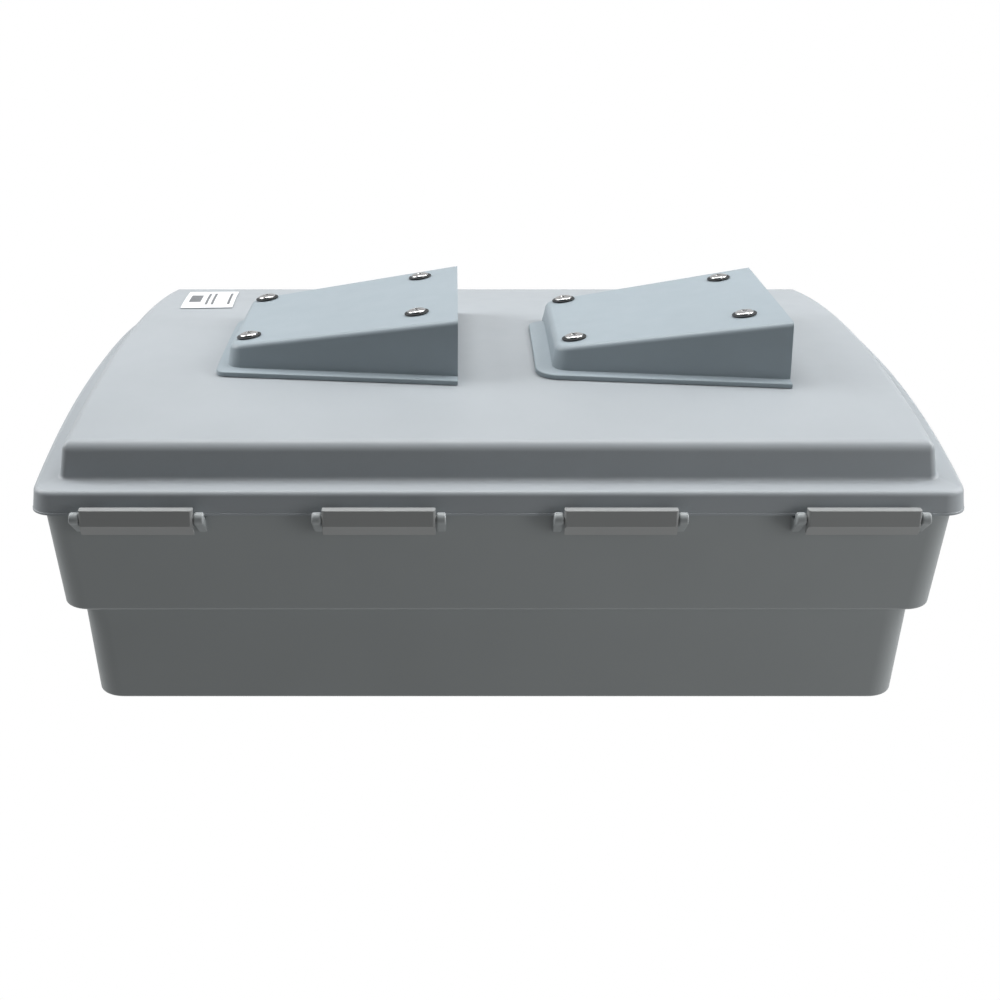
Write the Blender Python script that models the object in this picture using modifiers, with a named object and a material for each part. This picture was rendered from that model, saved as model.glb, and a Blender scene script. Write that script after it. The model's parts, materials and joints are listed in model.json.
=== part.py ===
"""Bait station: a two-tier tub with a hinged arched lid, four front latches and two hooded entries.

Run with: blender --background --python part.py
Metres, +Z up, +X along the length, -Y towards the latches. The origin is under the middle of the tub.
"""

import math

import bmesh
import bpy
from mathutils import Matrix, Vector

MM = 0.001
GAP = 0.3 * MM  # left between pieces that touch

# Lid
LID_HALF_X = 217.2 * MM
LID_HALF_Y = 169.5 * MM
LID_WALL = 2.5 * MM
SKIRT_BOTTOM = 103.8 * MM
SKIRT_TOP = 115.1 * MM
SKIRT_DRAFT = 1.2 * MM  # the skirt is this much narrower at its top
SKIRT_RADIUS = 12.0 * MM
LEDGE_RISE = 17.0 * MM  # the ledge climbs this much towards the middle of the lid's ends
LEDGE_POWER = 2.3
SKIRT_FILLET = 2.8 * MM
DOME_INSET = 12.6 * MM
DOME_INSET_Y = 1.9 * MM  # the dome is set this much further in at the front and the back
DOME_DRAFT = 1.3 * MM
DOME_FOOT = 1.8 * MM  # radius of the hollow corner at the dome's foot
DOME_FILLET = 5.0 * MM
DOME_HALF_Y = LID_HALF_Y - DOME_INSET - DOME_INSET_Y
DOME_EDGE = 133.1 * MM
DOME_RISE = 12.2 * MM
DOME_RADIUS = 3.5 * MM
SMALLEST_RADIUS = 0.8 * MM
SIDE_STEPS = 12

# Tub, as insets from the lid's outline. The lid overhangs its ends more than its front and back.
OVERHANG_X = 1.0 * MM
FOOT_OVERHANG_X = 2.0 * MM
TUB_WALL = 2.5 * MM
RIM_TOP = 108.5 * MM
RIM_INSET = 3.6 * MM
STEP_HEIGHT = 52.1 * MM
UPPER_INSET = 7.5 * MM
LOWER_TOP_INSET = 14.7 * MM
LOWER_BOTTOM_INSET = 17.0 * MM
TUB_RADIUS = 14.0 * MM
TUB_FILLET = 1.2 * MM

# Rim seal
SEAL_INSET = 4.3 * MM
SEAL_TOP = SKIRT_TOP - LID_WALL - GAP
SEAL_BOTTOM = RIM_TOP + GAP
SEAL_WIDTH = 3.0 * MM

# Front latches
LATCH_COUNT = 4
LATCH_PITCH = 110.7 * MM
LATCH_SHIFT = 0.3 * MM
LATCH_HALF = 25.9 * MM
LATCH_PIVOT = (-174.2 * MM, 104.2 * MM)  # y, z
LATCH_FRONT = -177.5 * MM
LATCH_WALL = 1.5 * MM
LATCH_TOP = 109.4 * MM
LATCH_BEND = 101.8 * MM
LATCH_BOTTOM = 96.3 * MM
LATCH_LIP_TIP = -173.3 * MM
LATCH_TAIL = -174.4 * MM
LATCH_WEB = 2.0 * MM
LATCH_HUB = 1.7 * MM
TRUNNION_RADIUS = 1.75 * MM
TRUNNION_LENGTH = 3.2 * MM
SOCKET_RADIUS = 1.85 * MM
SOCKET_DEPTH = 3.4 * MM
EAR_GAP = 0.4 * MM
EAR_WIDTH = 4.4 * MM
EAR_RADIUS = 3.0 * MM
EAR_DROP = 10.0 * MM
CATCH_HALF = 19.0 * MM
CATCH_TIP = -172.4 * MM
CATCH_HEIGHTS = (105.2 * MM, 107.2 * MM)

# Rear hinges
HINGE_X = 111.0 * MM
HINGE_AXIS = (174.3 * MM, 103.0 * MM)  # y, z
KNUCKLE_RADIUS = 3.2 * MM
KNUCKLE_HALF = 25.0 * MM
LEAF_TOP = 112.0 * MM
PIN_RADIUS = 1.5 * MM
PIN_BORE = 1.6 * MM
PIN_HEAD_RADIUS = 2.6 * MM
PIN_HEAD = 1.2 * MM

# Entry hoods. Each is placed by the middle of its plan, and the rest is measured from there.
HOOD_PLACES = {"left": (-84.4 * MM, -17.4 * MM), "right": (82.5 * MM, -21.4 * MM)}
HOOD_WALL = 2.3 * MM
HOOD_LEFT = -52.0 * MM
HOOD_RIGHT = 65.2 * MM
HOOD_LEFT_TOP = 156.2 * MM  # height of the sloping top over HOOD_LEFT
HOOD_SLOPE = 0.142
HOOD_HALF_LEFT = 51.5 * MM
HOOD_HALF_RIGHT = 63.3 * MM
HOOD_DRAFT = 1.6 * MM
HOOD_FILLET = 3.0 * MM
HOOD_CORNER = 8.0 * MM
FLANGE_SIDE = 6.2 * MM
FLANGE_ENDS = {"left": 4.6 * MM, "right": 8.3 * MM}  # its width round the closed end
FLANGE_CORNERS = {"left": 6.0 * MM, "right": 12.0 * MM}
FLANGE_STOP = 36.0 * MM  # it runs out this far back of the hood's middle
FLANGE_RUNOUT = 9.0 * MM
ENTRY_X = (-45.0 * MM, 20.0 * MM)
ENTRY_HALF_Y = 30.0 * MM
ENTRY_RADIUS = 6.0 * MM
RAIL_X = (-46.0 * MM, 60.0 * MM)
RAIL_WIDTH = 7.6 * MM

# Hood screws and their sealing washers
SCREW_SPACING = (87.0 * MM, 81.4 * MM)
# The middle of each hood's screw pattern, from the middle of the hood
SCREW_SHIFTS = {"left": (0.6 * MM, 3.8 * MM), "right": (1.9 * MM, 3.8 * MM)}
SCREW_RADIUS = 2.4 * MM
SCREW_LENGTH = 11.0 * MM
SCREW_HEAD_RADIUS = 4.75 * MM
SCREW_HEAD = 1.1 * MM
SCREW_BORE = 2.75 * MM
WASHER_RADIUS = 6.35 * MM
WASHER = 0.6 * MM

# Inside the tub
TRAY_X = (-40.0 * MM, 135.0 * MM)
TRAY_HALF = (45.0 * MM, 100.0 * MM)
TRAY_HEIGHT = 28.0 * MM
TRAY_WALL = 1.8 * MM
TRAY_RADIUS = 12.0 * MM
ROD_Y = 50.0 * MM
ROD_RADIUS = 1.5 * MM
ROD_TOP = 80.0 * MM
ROD_HOOK = 12.0 * MM
SOCKET_OUTER = 4.5 * MM
SOCKET_HEIGHT = 9.0 * MM
PANEL_THICK = 3.0 * MM
PANEL_OFFSET = 3.0 * MM  # from the entry's closed end
PANEL_TOP = 136.0 * MM
PANEL_FOOT = 16.0 * MM
GROOVE_PITCH = 9.0 * MM
GROOVE_DEPTH = 0.8 * MM

# Label
LABEL_MIDDLE = (-170.1 * MM, 93.3 * MM)
LABEL_WIDTH = 30.6 * MM
LABEL_LENGTH = 66.0 * MM
LABEL_TURN = math.radians(4.4)
LABEL_THICK = 0.3 * MM

GREY = (0.36, 0.38, 0.39)
MATERIALS = {
    "tub_grey": ((0.33, 0.35, 0.36), 0.45, 0.0),
    "lid_grey": (GREY, 0.42, 0.0),
    "hood_grey": ((0.30, 0.36, 0.39), 0.42, 0.0),
    "latch_grey": ((0.38, 0.39, 0.38), 0.45, 0.0),
    "steel": ((0.62, 0.62, 0.62), 0.25, 1.0),
    "black_rubber": ((0.02, 0.02, 0.022), 0.7, 0.0),
    "tray_black": ((0.03, 0.03, 0.03), 0.5, 0.0),
    "label_white": ((0.85, 0.87, 0.88), 0.5, 0.0),
}


def clear_scene():
    for obj in list(bpy.data.objects):
        bpy.data.objects.remove(obj)


def make_collection(name):
    collection = bpy.data.collections.new(name)
    bpy.context.scene.collection.children.link(collection)
    return collection


def make_material(name):
    colour, roughness, metallic = MATERIALS[name]
    material = bpy.data.materials.new(name)
    material.use_nodes = True
    shader = material.node_tree.nodes["Principled BSDF"]
    shader.inputs["Base Color"].default_value = (*colour, 1.0)
    shader.inputs["Roughness"].default_value = roughness
    shader.inputs["Metallic"].default_value = metallic
    return material


def place(obj, material=None):
    """Links an object: with a material it is a part, and without one it is a cutter or a joined-on shape."""
    if material is None:
        CUTTERS.objects.link(obj)
        obj.hide_render = True
        obj.display_type = "WIRE"
        return obj
    PARTS.objects.link(obj)
    obj.data.materials.clear()
    obj.data.materials.append(FINISH[material])
    return obj


def object_from(name, bm, material=None):
    bmesh.ops.recalc_face_normals(bm, faces=bm.faces)
    mesh = bpy.data.meshes.new(name)
    bm.to_mesh(mesh)
    bm.free()
    mesh.shade_smooth()
    mesh.set_sharp_from_angle(angle=math.radians(35))
    return place(bpy.data.objects.new(name, mesh), material)


def flattened(obj):
    """The object's evaluated mesh as a plain, welded mesh in world space, which Booleans can join or cut."""
    bpy.context.view_layer.update()
    graph = bpy.context.evaluated_depsgraph_get()
    mesh = bpy.data.meshes.new_from_object(obj.evaluated_get(graph))
    bm = bmesh.new()
    bm.from_mesh(mesh)
    bmesh.ops.transform(bm, matrix=obj.matrix_world, verts=bm.verts)
    bmesh.ops.remove_doubles(bm, verts=bm.verts, dist=0.001 * MM)
    bpy.data.objects.remove(obj)
    bpy.data.meshes.remove(mesh)
    return bm


def merged(name, pieces, material=None):
    """One object from several that don't touch."""
    whole = bmesh.new()
    for piece in pieces:
        bm = flattened(piece)
        scrap = bpy.data.meshes.new("scrap")
        bm.to_mesh(scrap)
        bm.free()
        whole.from_mesh(scrap)
        bpy.data.meshes.remove(scrap)
    return object_from(name, whole, material)


def boolean(obj, other, operation):
    modifier = obj.modifiers.new(other.name, "BOOLEAN")
    modifier.operation = operation
    modifier.object = other
    modifier.solver = "EXACT"


def settle(obj):
    """Applies a cut or joined part's modifiers and shades it again, so that its new edges are sharp."""
    if not any(modifier.type == "BOOLEAN" for modifier in obj.modifiers):
        return
    graph = bpy.context.evaluated_depsgraph_get()
    mesh = bpy.data.meshes.new_from_object(obj.evaluated_get(graph))
    obj.modifiers.clear()
    obj.data = mesh
    mesh.shade_smooth()
    mesh.set_sharp_from_angle(angle=math.radians(35))


def thicken(obj, thickness):
    """Gives an open outer skin its wall, on the inside."""
    modifier = obj.modifiers.new("wall", "SOLIDIFY")
    modifier.thickness = thickness
    modifier.offset = -1
    modifier.use_even_offset = True
    modifier.use_quality_normals = True


# Shapes


def arc(centre, radius, start, end, steps):
    """Points on an arc from start to end, in degrees."""
    angles = [math.radians(start + (end - start) * i / steps) for i in range(steps + 1)]
    return [(centre[0] + radius * math.cos(a), centre[1] + radius * math.sin(a)) for a in angles]


def rounded_ring(half_x, half_y, radius, corner_steps=5, side_steps=1):
    """A rounded rectangle as points: up the right side, then back down the left side at the same y values."""
    reach = half_y - radius
    right = arc((half_x - radius, -reach), radius, -90, 0, corner_steps)
    right += [(half_x, -reach + 2 * reach * i / side_steps) for i in range(1, side_steps)]
    right += arc((half_x - radius, reach), radius, 0, 90, corner_steps)
    return right + [(-x, y) for x, y in reversed(right)]


def skin(bm, rings, closed=True):
    """Joins rings of points with quads, and returns the rings' vertices."""
    made = [[bm.verts.new(point) for point in ring] for ring in rings]
    count = len(made[0])
    for low, high in zip(made, made[1:]):
        for i in range(count if closed else count - 1):
            j = (i + 1) % count
            bm.faces.new((low[i], low[j], high[j], high[i]))
    return made


def cap(bm, ring):
    """Fills a rounded_ring with strips that run across it, so that it can be arched."""
    half = len(ring) // 2
    right, left = ring[:half], ring[:half - 1:-1]
    for i in range(half - 1):
        bm.faces.new((right[i], right[i + 1], left[i + 1], left[i]))


def lid_ring(inset, height, radius, inset_y=0.0):
    """A ring inset from the lid's outline, whose height is a function of y."""
    half_y = LID_HALF_Y - inset - inset_y
    radius = max(radius, SMALLEST_RADIUS)
    outline = rounded_ring(LID_HALF_X - inset, half_y, radius, side_steps=SIDE_STEPS)
    return [(x, y, height(y)) for x, y in outline]


def tub_ring(inset, height, radius, overhang=OVERHANG_X):
    """A ring of the tub or its seal, which is set further in at the ends."""
    return lid_ring(inset + overhang, height, radius, -overhang)


def box_between(name, low, high, material=None):
    bm = bmesh.new()
    bmesh.ops.create_cube(bm, size=1.0)
    size = Vector(high) - Vector(low)
    bmesh.ops.scale(bm, vec=size, verts=bm.verts)
    bmesh.ops.translate(bm, vec=(Vector(high) + Vector(low)) / 2, verts=bm.verts)
    return object_from(name, bm, material)


def rod_along_x(name, centre, radius, x_low, x_high, segments=16):
    """A cylinder along X; centre is its (y, z)."""
    bm = bmesh.new()
    bmesh.ops.create_cone(
        bm, cap_ends=True, segments=segments, radius1=radius, radius2=radius, depth=x_high - x_low
    )
    turn = Matrix.Rotation(math.radians(90), 4, "Y")
    place_at = Matrix.Translation(((x_low + x_high) / 2, *centre))
    bmesh.ops.transform(bm, matrix=place_at @ turn, verts=bm.verts)
    return object_from(name, bm)


def extruded(name, outline, x_low, x_high, material=None):
    """A flat outline of (y, z) points, given its width along X."""
    curve = bpy.data.curves.new(name, "CURVE")
    curve.dimensions = "2D"
    curve.fill_mode = "BOTH"
    curve.extrude = (x_high - x_low) / 2
    spline = curve.splines.new("POLY")
    spline.points.add(len(outline) - 1)
    for point, (y, z) in zip(spline.points, outline):
        point.co = (y, z, 0, 1)
    spline.use_cyclic_u = True
    obj = place(bpy.data.objects.new(name, curve), material)
    upright = Matrix(((0, 0, 1, 0), (1, 0, 0, 0), (0, 1, 0, 0), (0, 0, 0, 1)))
    obj.matrix_world = Matrix.Translation(((x_low + x_high) / 2, 0, 0)) @ upright
    return obj


def turned(name, profile, material, segments=16):
    """A profile of (radius, z) points, from the top down its outer side, turned about its own Z."""
    mesh = bpy.data.meshes.new(name)
    points = [(radius, 0, z) for radius, z in profile]
    mesh.from_pydata(points, [(i, i + 1) for i in range(len(points) - 1)], [])
    obj = place(bpy.data.objects.new(name, mesh), material)
    screw = obj.modifiers.new("turn", "SCREW")
    screw.steps = screw.render_steps = segments
    screw.use_merge_vertices = True
    screw.merge_threshold = 0.01 * MM
    return obj


# Heights of the lid's two arched surfaces


def arch(y):
    """How much higher the ends of the lid and of the tub's rim are at this y."""
    reach = min(abs(y) / (LID_HALF_Y - 0.75 * SKIRT_RADIUS), 1.0)
    return LEDGE_RISE * (1 - reach**LEDGE_POWER)


def ledge_height(y):
    return SKIRT_TOP + arch(y)


def dome_height(y):
    return DOME_EDGE + DOME_RISE * (1 - (y / DOME_HALF_Y) ** 2)


def hood_top(x):
    """Height of a hood's sloping top, x being measured from its screw pattern."""
    return HOOD_LEFT_TOP + HOOD_SLOPE * (x - HOOD_LEFT)


# The tub


def ear_outline(knob, side):
    """A bracket from the tub's wall out to the knob that holds a pivot. side is -1 at the front, 1 at the rear."""
    y, z = knob
    root = side * (LID_HALF_Y - RIM_INSET - 1.6 * MM)
    around = arc((0, 0), EAR_RADIUS, -35, 215, 10)
    points = [(root, z - EAR_DROP), (side * (LID_HALF_Y - RIM_INSET - 0.4 * MM), z - EAR_DROP)]
    points += [(y + side * dy, z + dz) for dy, dz in around]
    return points + [(root, z - 1.7 * MM)]


def ear_spans(centre, half):
    """The x ranges of the two ears around a latch or a hinge leaf."""
    inner = half + EAR_GAP
    return (
        (centre - inner - EAR_WIDTH, centre - inner),
        (centre + inner, centre + inner + EAR_WIDTH),
    )


def make_tub():
    def level(inset, radius, z, overhang=OVERHANG_X):
        return tub_ring(inset, lambda y: z, radius, overhang)

    bm = bmesh.new()
    rounding = arc((LOWER_BOTTOM_INSET + TUB_FILLET, TUB_FILLET), TUB_FILLET, 270, 180, 2)
    foot = [level(inset, TUB_RADIUS + LOWER_BOTTOM_INSET - inset, z, FOOT_OVERHANG_X) for inset, z in rounding]
    rings = skin(
        bm,
        [
            *foot,
            level(LOWER_TOP_INSET, TUB_RADIUS, STEP_HEIGHT),
            level(UPPER_INSET + 1.5 * MM, TUB_RADIUS, STEP_HEIGHT),
            level(UPPER_INSET, TUB_RADIUS + 1.5 * MM, STEP_HEIGHT + 1.5 * MM),
            level(RIM_INSET, SKIRT_RADIUS, SKIRT_BOTTOM),
            tub_ring(RIM_INSET, lambda y: RIM_TOP + arch(y), SKIRT_RADIUS),
        ],
    )
    cap(bm, rings[0])
    tub = object_from("base_tub", bm, "tub_grey")
    thicken(tub, TUB_WALL)

    ears, sockets = [], []
    for x in LATCH_CENTRES:
        for low, high in ear_spans(x, LATCH_HALF):
            ears.append(extruded("ear", ear_outline(LATCH_PIVOT, -1), low, high))
        face = LATCH_HALF + EAR_GAP
        for side in (-1, 1):
            span = sorted((x + side * (face - 1 * MM), x + side * (face + SOCKET_DEPTH)))
            sockets.append(rod_along_x("socket", LATCH_PIVOT, SOCKET_RADIUS, *span))
    for x in (-HINGE_X, HINGE_X):
        for low, high in ear_spans(x, KNUCKLE_HALF):
            ears.append(extruded("ear", ear_outline(HINGE_AXIS, 1), low, high))
        reach = KNUCKLE_HALF + EAR_GAP + EAR_WIDTH + 1 * MM
        sockets.append(rod_along_x("bore", HINGE_AXIS, PIN_BORE, x - reach, x + reach))
    boolean(tub, merged("tub_ears", ears), "UNION")
    boolean(tub, merged("tub_ear_bores", sockets), "DIFFERENCE")


def make_seal():
    """The strip between the tub's rim and the lid. It follows the rim over the arched ends."""
    outer = SEAL_INSET
    inner = outer + SEAL_WIDTH
    corners = ((outer, SEAL_BOTTOM), (outer, SEAL_TOP), (inner, SEAL_TOP), (inner, SEAL_BOTTOM))
    rings = [tub_ring(inset, lambda y, z=z: z + arch(y), SKIRT_RADIUS - inset / 2) for inset, z in corners]
    bm = bmesh.new()
    skin(bm, rings + rings[:1])
    bmesh.ops.remove_doubles(bm, verts=bm.verts, dist=0.001 * MM)
    object_from("rim_seal", bm, "black_rubber")


# The lid


def knuckle_outline():
    """The hinge leaf moulded on the lid's rear skirt, in (y, z)."""
    y, z = HINGE_AXIS
    root = LID_HALF_Y - 2.0 * MM
    around = arc((y, z), KNUCKLE_RADIUS, 70, -165, 10)
    return [(root, LEAF_TOP), (LID_HALF_Y + 0.8 * MM, LEAF_TOP)] + around + [(root, SKIRT_BOTTOM + 0.6 * MM)]


def entry_cutter(spot):
    """The rounded hole through the lid under a hood."""
    x, y = spot
    low, high = ENTRY_X
    middle, half = (low + high) / 2, (high - low) / 2
    outline = rounded_ring(half, ENTRY_HALF_Y, ENTRY_RADIUS)
    heights = (DOME_EDGE - 10 * MM, DOME_EDGE + DOME_RISE + 10 * MM)
    bm = bmesh.new()
    rings = skin(bm, [[(x + middle + px, y + py, z) for px, py in outline] for z in heights])
    bm.faces.new(rings[0])
    bm.faces.new(rings[1])
    return object_from("entry", bm)


def lid_profile():
    """The lid's rings from the skirt up and in, as (inset, height function, corner radius, extra inset in y)."""

    def above(base, offset):
        return lambda y: base(y) + offset

    rings = [(0, lambda y: SKIRT_BOTTOM, SKIRT_RADIUS, 0)]
    for inset, rise in arc((SKIRT_DRAFT + SKIRT_FILLET, -SKIRT_FILLET), SKIRT_FILLET, 180, 90, 3):
        rings.append((inset, above(ledge_height, rise), SKIRT_RADIUS - inset, 0))
    for inset, rise in arc((DOME_INSET - DOME_FOOT, DOME_FOOT), DOME_FOOT, -90, 0, 3):
        radius = DOME_RADIUS + DOME_INSET - inset
        rings.append((inset, above(ledge_height, rise), radius, DOME_INSET_Y))
    top = DOME_INSET + DOME_DRAFT
    for inset, rise in arc((top + DOME_FILLET, -DOME_FILLET), DOME_FILLET, 180, 90, 4):
        rings.append((inset, above(dome_height, rise), DOME_RADIUS - inset + top, DOME_INSET_Y))
    return rings


def make_lid():
    bm = bmesh.new()
    rings = skin(bm, [lid_ring(*ring) for ring in lid_profile()])
    cap(bm, rings[-1])
    lid = object_from("lid", bm, "lid_grey")
    thicken(lid, LID_WALL)

    added = []
    for x in LATCH_CENTRES:
        low = (x - CATCH_HALF, CATCH_TIP, CATCH_HEIGHTS[0])
        high = (x + CATCH_HALF, -LID_HALF_Y + 1.2 * MM, CATCH_HEIGHTS[1])
        added.append(box_between("catch", low, high))
    for x in (-HINGE_X, HINGE_X):
        added.append(extruded("knuckle", knuckle_outline(), x - KNUCKLE_HALF, x + KNUCKLE_HALF))
    cuts = [entry_cutter(spot) for spot in HOOD_PLACES.values()]
    for x in (-HINGE_X, HINGE_X):
        reach = KNUCKLE_HALF + 1 * MM
        cuts.append(rod_along_x("bore", HINGE_AXIS, PIN_BORE, x - reach, x + reach))
    boolean(lid, merged("lid_catches_and_leaves", added), "UNION")
    boolean(lid, merged("lid_entries_and_bores", cuts), "DIFFERENCE")


def make_hinge_pin(name, x):
    """A headed pin, turned about its own Z and laid along X."""
    reach = KNUCKLE_HALF + EAR_GAP + EAR_WIDTH
    top = reach + GAP
    profile = [(0, top + PIN_HEAD), (PIN_HEAD_RADIUS, top + PIN_HEAD), (PIN_HEAD_RADIUS, top)]
    profile += [(PIN_RADIUS, top), (PIN_RADIUS, -reach), (0, -reach)]
    pin = turned(name, profile, "steel")
    pin.rotation_euler = (0, math.radians(90), 0)
    pin.location = (x, *HINGE_AXIS)


# The hoods


def hood_path(left, right, half_left, half_right, corner):
    """A hood's plan outline: in along the front, round the closed end and out along the back, in (x, y)."""
    lean = math.degrees(math.atan2(half_right - half_left, right - left))
    front = arc((left + corner, -half_left + corner), corner, 270 - lean, 180, 5)
    straight = half_left - corner
    middle = [(left, -straight + 2 * straight * i / 6) for i in range(1, 6)]
    half = [(right, -half_right)] + front
    return half + middle + [(x, -y) for x, y in reversed(half)]


def hood_row(spot, grow_end, grow_side, corner, height):
    """One row of a hood's skin; height is a function of x from the hood's middle, and of y."""
    path = hood_path(
        HOOD_LEFT - grow_end,
        HOOD_RIGHT,
        HOOD_HALF_LEFT + grow_side,
        HOOD_HALF_RIGHT + grow_side,
        corner,
    )
    return [(spot[0] + x, spot[1] + y, height(x, spot[1] + y)) for x, y in path]


def make_flange(side, spot):
    """The lip along a hood's front and up its closed end, running out into the wall."""
    root, end = HOOD_DRAFT - HOOD_WALL / 2, FLANGE_ENDS[side]
    inner = hood_row(spot, root, root, HOOD_CORNER, lambda x, y: 0)
    outer = hood_row(spot, HOOD_DRAFT + end, HOOD_DRAFT + FLANGE_SIDE, FLANGE_CORNERS[side], lambda x, y: 0)
    stop = spot[1] + FLANGE_STOP - FLANGE_RUNOUT
    pairs = [pair for pair in zip(outer, inner) if max(pair[0][1], pair[1][1]) < stop]
    x_inner, x_wall = pairs[-1][1][0], spot[0] + HOOD_LEFT - HOOD_DRAFT
    for across, along in arc((0, stop), FLANGE_RUNOUT, 0, 90, 5):
        x_outer = x_wall - end * across / FLANGE_RUNOUT
        pairs.append(((x_outer, along), (x_inner, along)))
    # It starts just inside the mouth, so that its end face doesn't lie in the hood's.
    pairs[0] = tuple((point[0] - 0.1 * MM, point[1]) for point in pairs[0])
    sections = []
    for out, back in pairs:
        corners = ((out, 0), (out, HOOD_WALL), (back, HOOD_WALL), (back, 0))
        sections.append([(p[0], p[1], dome_height(p[1]) + GAP + rise) for p, rise in corners])
    bm = bmesh.new()
    rings = skin(bm, sections)
    bm.faces.new(rings[0])
    bm.faces.new(rings[-1])
    return object_from(f"flange_{side}", bm)


def make_hood(name, side, spot):
    def foot(x, y):
        return dome_height(y) + 3 * GAP

    def top(drop):
        return lambda x, y: hood_top(x) - drop

    edge = 0.9 * MM
    bm = bmesh.new()
    rows = skin(
        bm,
        [
            hood_row(spot, HOOD_DRAFT, HOOD_DRAFT, HOOD_CORNER, foot),
            hood_row(spot, 0, 0, HOOD_CORNER, top(HOOD_FILLET)),
            hood_row(spot, -edge, -edge, HOOD_CORNER - edge, top(edge)),
            hood_row(spot, -HOOD_FILLET, -HOOD_FILLET, HOOD_CORNER - HOOD_FILLET, top(0)),
            hood_row(spot, -HOOD_FILLET - 1 * MM, -HOOD_FILLET - 1 * MM, 4 * MM, top(0)),
        ],
        closed=False,
    )
    bm.faces.new(rows[-1])
    hood = object_from(name, bm, "hood_grey")
    thicken(hood, HOOD_WALL)
    boolean(hood, make_flange(side, spot), "UNION")
    boolean(hood, screw_bores(f"{name}_bores", side, spot), "DIFFERENCE")


def screw_places(side, spot):
    """Where each screw's head meets the hood's sloping top, as matrices whose Z is the screw's axis."""
    tilt = Matrix.Rotation(-math.atan(HOOD_SLOPE), 4, "Y")
    shift_x, shift_y = SCREW_SHIFTS[side]
    for side_y in (-1, 1):
        for side_x in (-1, 1):
            x = side_x * SCREW_SPACING[0] / 2 + shift_x
            y = side_y * SCREW_SPACING[1] / 2 + shift_y
            yield Matrix.Translation((spot[0] + x, spot[1] + y, hood_top(x))) @ tilt


def screw_bores(name, side, spot):
    bores = []
    for matrix in screw_places(side, spot):
        bm = bmesh.new()
        bmesh.ops.create_cone(
            bm, cap_ends=True, segments=16, radius1=SCREW_BORE, radius2=SCREW_BORE, depth=2 * SCREW_LENGTH
        )
        bmesh.ops.transform(bm, matrix=matrix, verts=bm.verts)
        bores.append(object_from("bore", bm))
    return merged(name, bores)


def make_rail(name, side, spot, side_y):
    """A wedge under a hood's side that the screws bite into. Its foot follows the dome."""
    shift_x, shift_y = SCREW_SHIFTS[side]
    middle = spot[1] + shift_y + side_y * SCREW_SPACING[1] / 2
    bm = bmesh.new()
    bmesh.ops.create_cube(bm, size=1.0)
    for vert in bm.verts:
        x = RAIL_X[vert.co.x > 0] + shift_x
        y = middle + RAIL_WIDTH * vert.co.y
        top = vert.co.z > 0
        z = hood_top(x) - HOOD_WALL - 2 * GAP if top else dome_height(y) + GAP
        vert.co = (spot[0] + x, y, z)
    rail = object_from(name, bm, "tray_black")
    boolean(rail, screw_bores(f"{name}_bores", side, spot), "DIFFERENCE")


def make_screw(name, matrix):
    under = WASHER + 2 * GAP
    crown = [(0, SCREW_HEAD), (2.6 * MM, 0.86 * SCREW_HEAD), (4.2 * MM, 0.45 * SCREW_HEAD), (SCREW_HEAD_RADIUS, 0)]
    profile = [(radius, under + z) for radius, z in crown]
    profile += [(SCREW_RADIUS, under), (SCREW_RADIUS, under - SCREW_LENGTH), (0, under - SCREW_LENGTH - 1 * MM)]
    screw = turned(name, profile, "steel", segments=12)
    screw.matrix_world = matrix


def make_washer(name, matrix):
    bore = SCREW_BORE
    low, high = GAP, GAP + WASHER
    profile = [(bore, high), (WASHER_RADIUS, high), (WASHER_RADIUS, low), (bore, low), (bore, high)]
    washer = turned(name, profile, "black_rubber", segments=16)
    washer.matrix_world = matrix


# The latches


def latch_outlines():
    """The latch's bent plate, and the web that closes each of its ends, in (y, z)."""
    lip_end, tail_end = LATCH_LIP_TIP, LATCH_TAIL
    front = [
        (lip_end, LATCH_TOP),
        (LATCH_FRONT + 0.6 * MM, LATCH_TOP),
        (LATCH_FRONT, LATCH_TOP - 0.6 * MM),
        (LATCH_FRONT, LATCH_BEND),
        (tail_end, LATCH_BOTTOM),
    ]
    inside = [
        (tail_end + 1.1 * MM, LATCH_BOTTOM + 0.9 * MM),
        (LATCH_FRONT + LATCH_WALL, LATCH_BEND + 0.3 * MM),
        (LATCH_FRONT + LATCH_WALL, LATCH_TOP - LATCH_WALL),
        (lip_end, LATCH_TOP - LATCH_WALL),
    ]
    pivot_y, pivot_z = LATCH_PIVOT
    hub = arc((pivot_y, pivot_z), LATCH_HUB, -60, 60, 6)
    return front + inside, front + inside[:1] + hub + inside[-1:]


def make_latch(name, x):
    plate, web = latch_outlines()
    body = extruded(f"{name}_plate", plate, x - LATCH_HALF, x + LATCH_HALF)
    latch = object_from(name, flattened(body), "latch_grey")
    ends, trunnions = [], []
    for side in (-1, 1):
        outer = x + side * (LATCH_HALF - 0.05 * MM)
        inner = x + side * (LATCH_HALF - LATCH_WEB)
        ends.append(extruded("web", web, *sorted((outer, inner))))
        tip = x + side * (LATCH_HALF + TRUNNION_LENGTH)
        root = x + side * (LATCH_HALF - 0.8 * MM)
        trunnions.append(rod_along_x("trunnion", LATCH_PIVOT, TRUNNION_RADIUS, *sorted((root, tip))))
    boolean(latch, merged(f"{name}_webs", ends), "UNION")
    boolean(latch, merged(f"{name}_trunnions", trunnions), "UNION")


# Inside the tub


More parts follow.
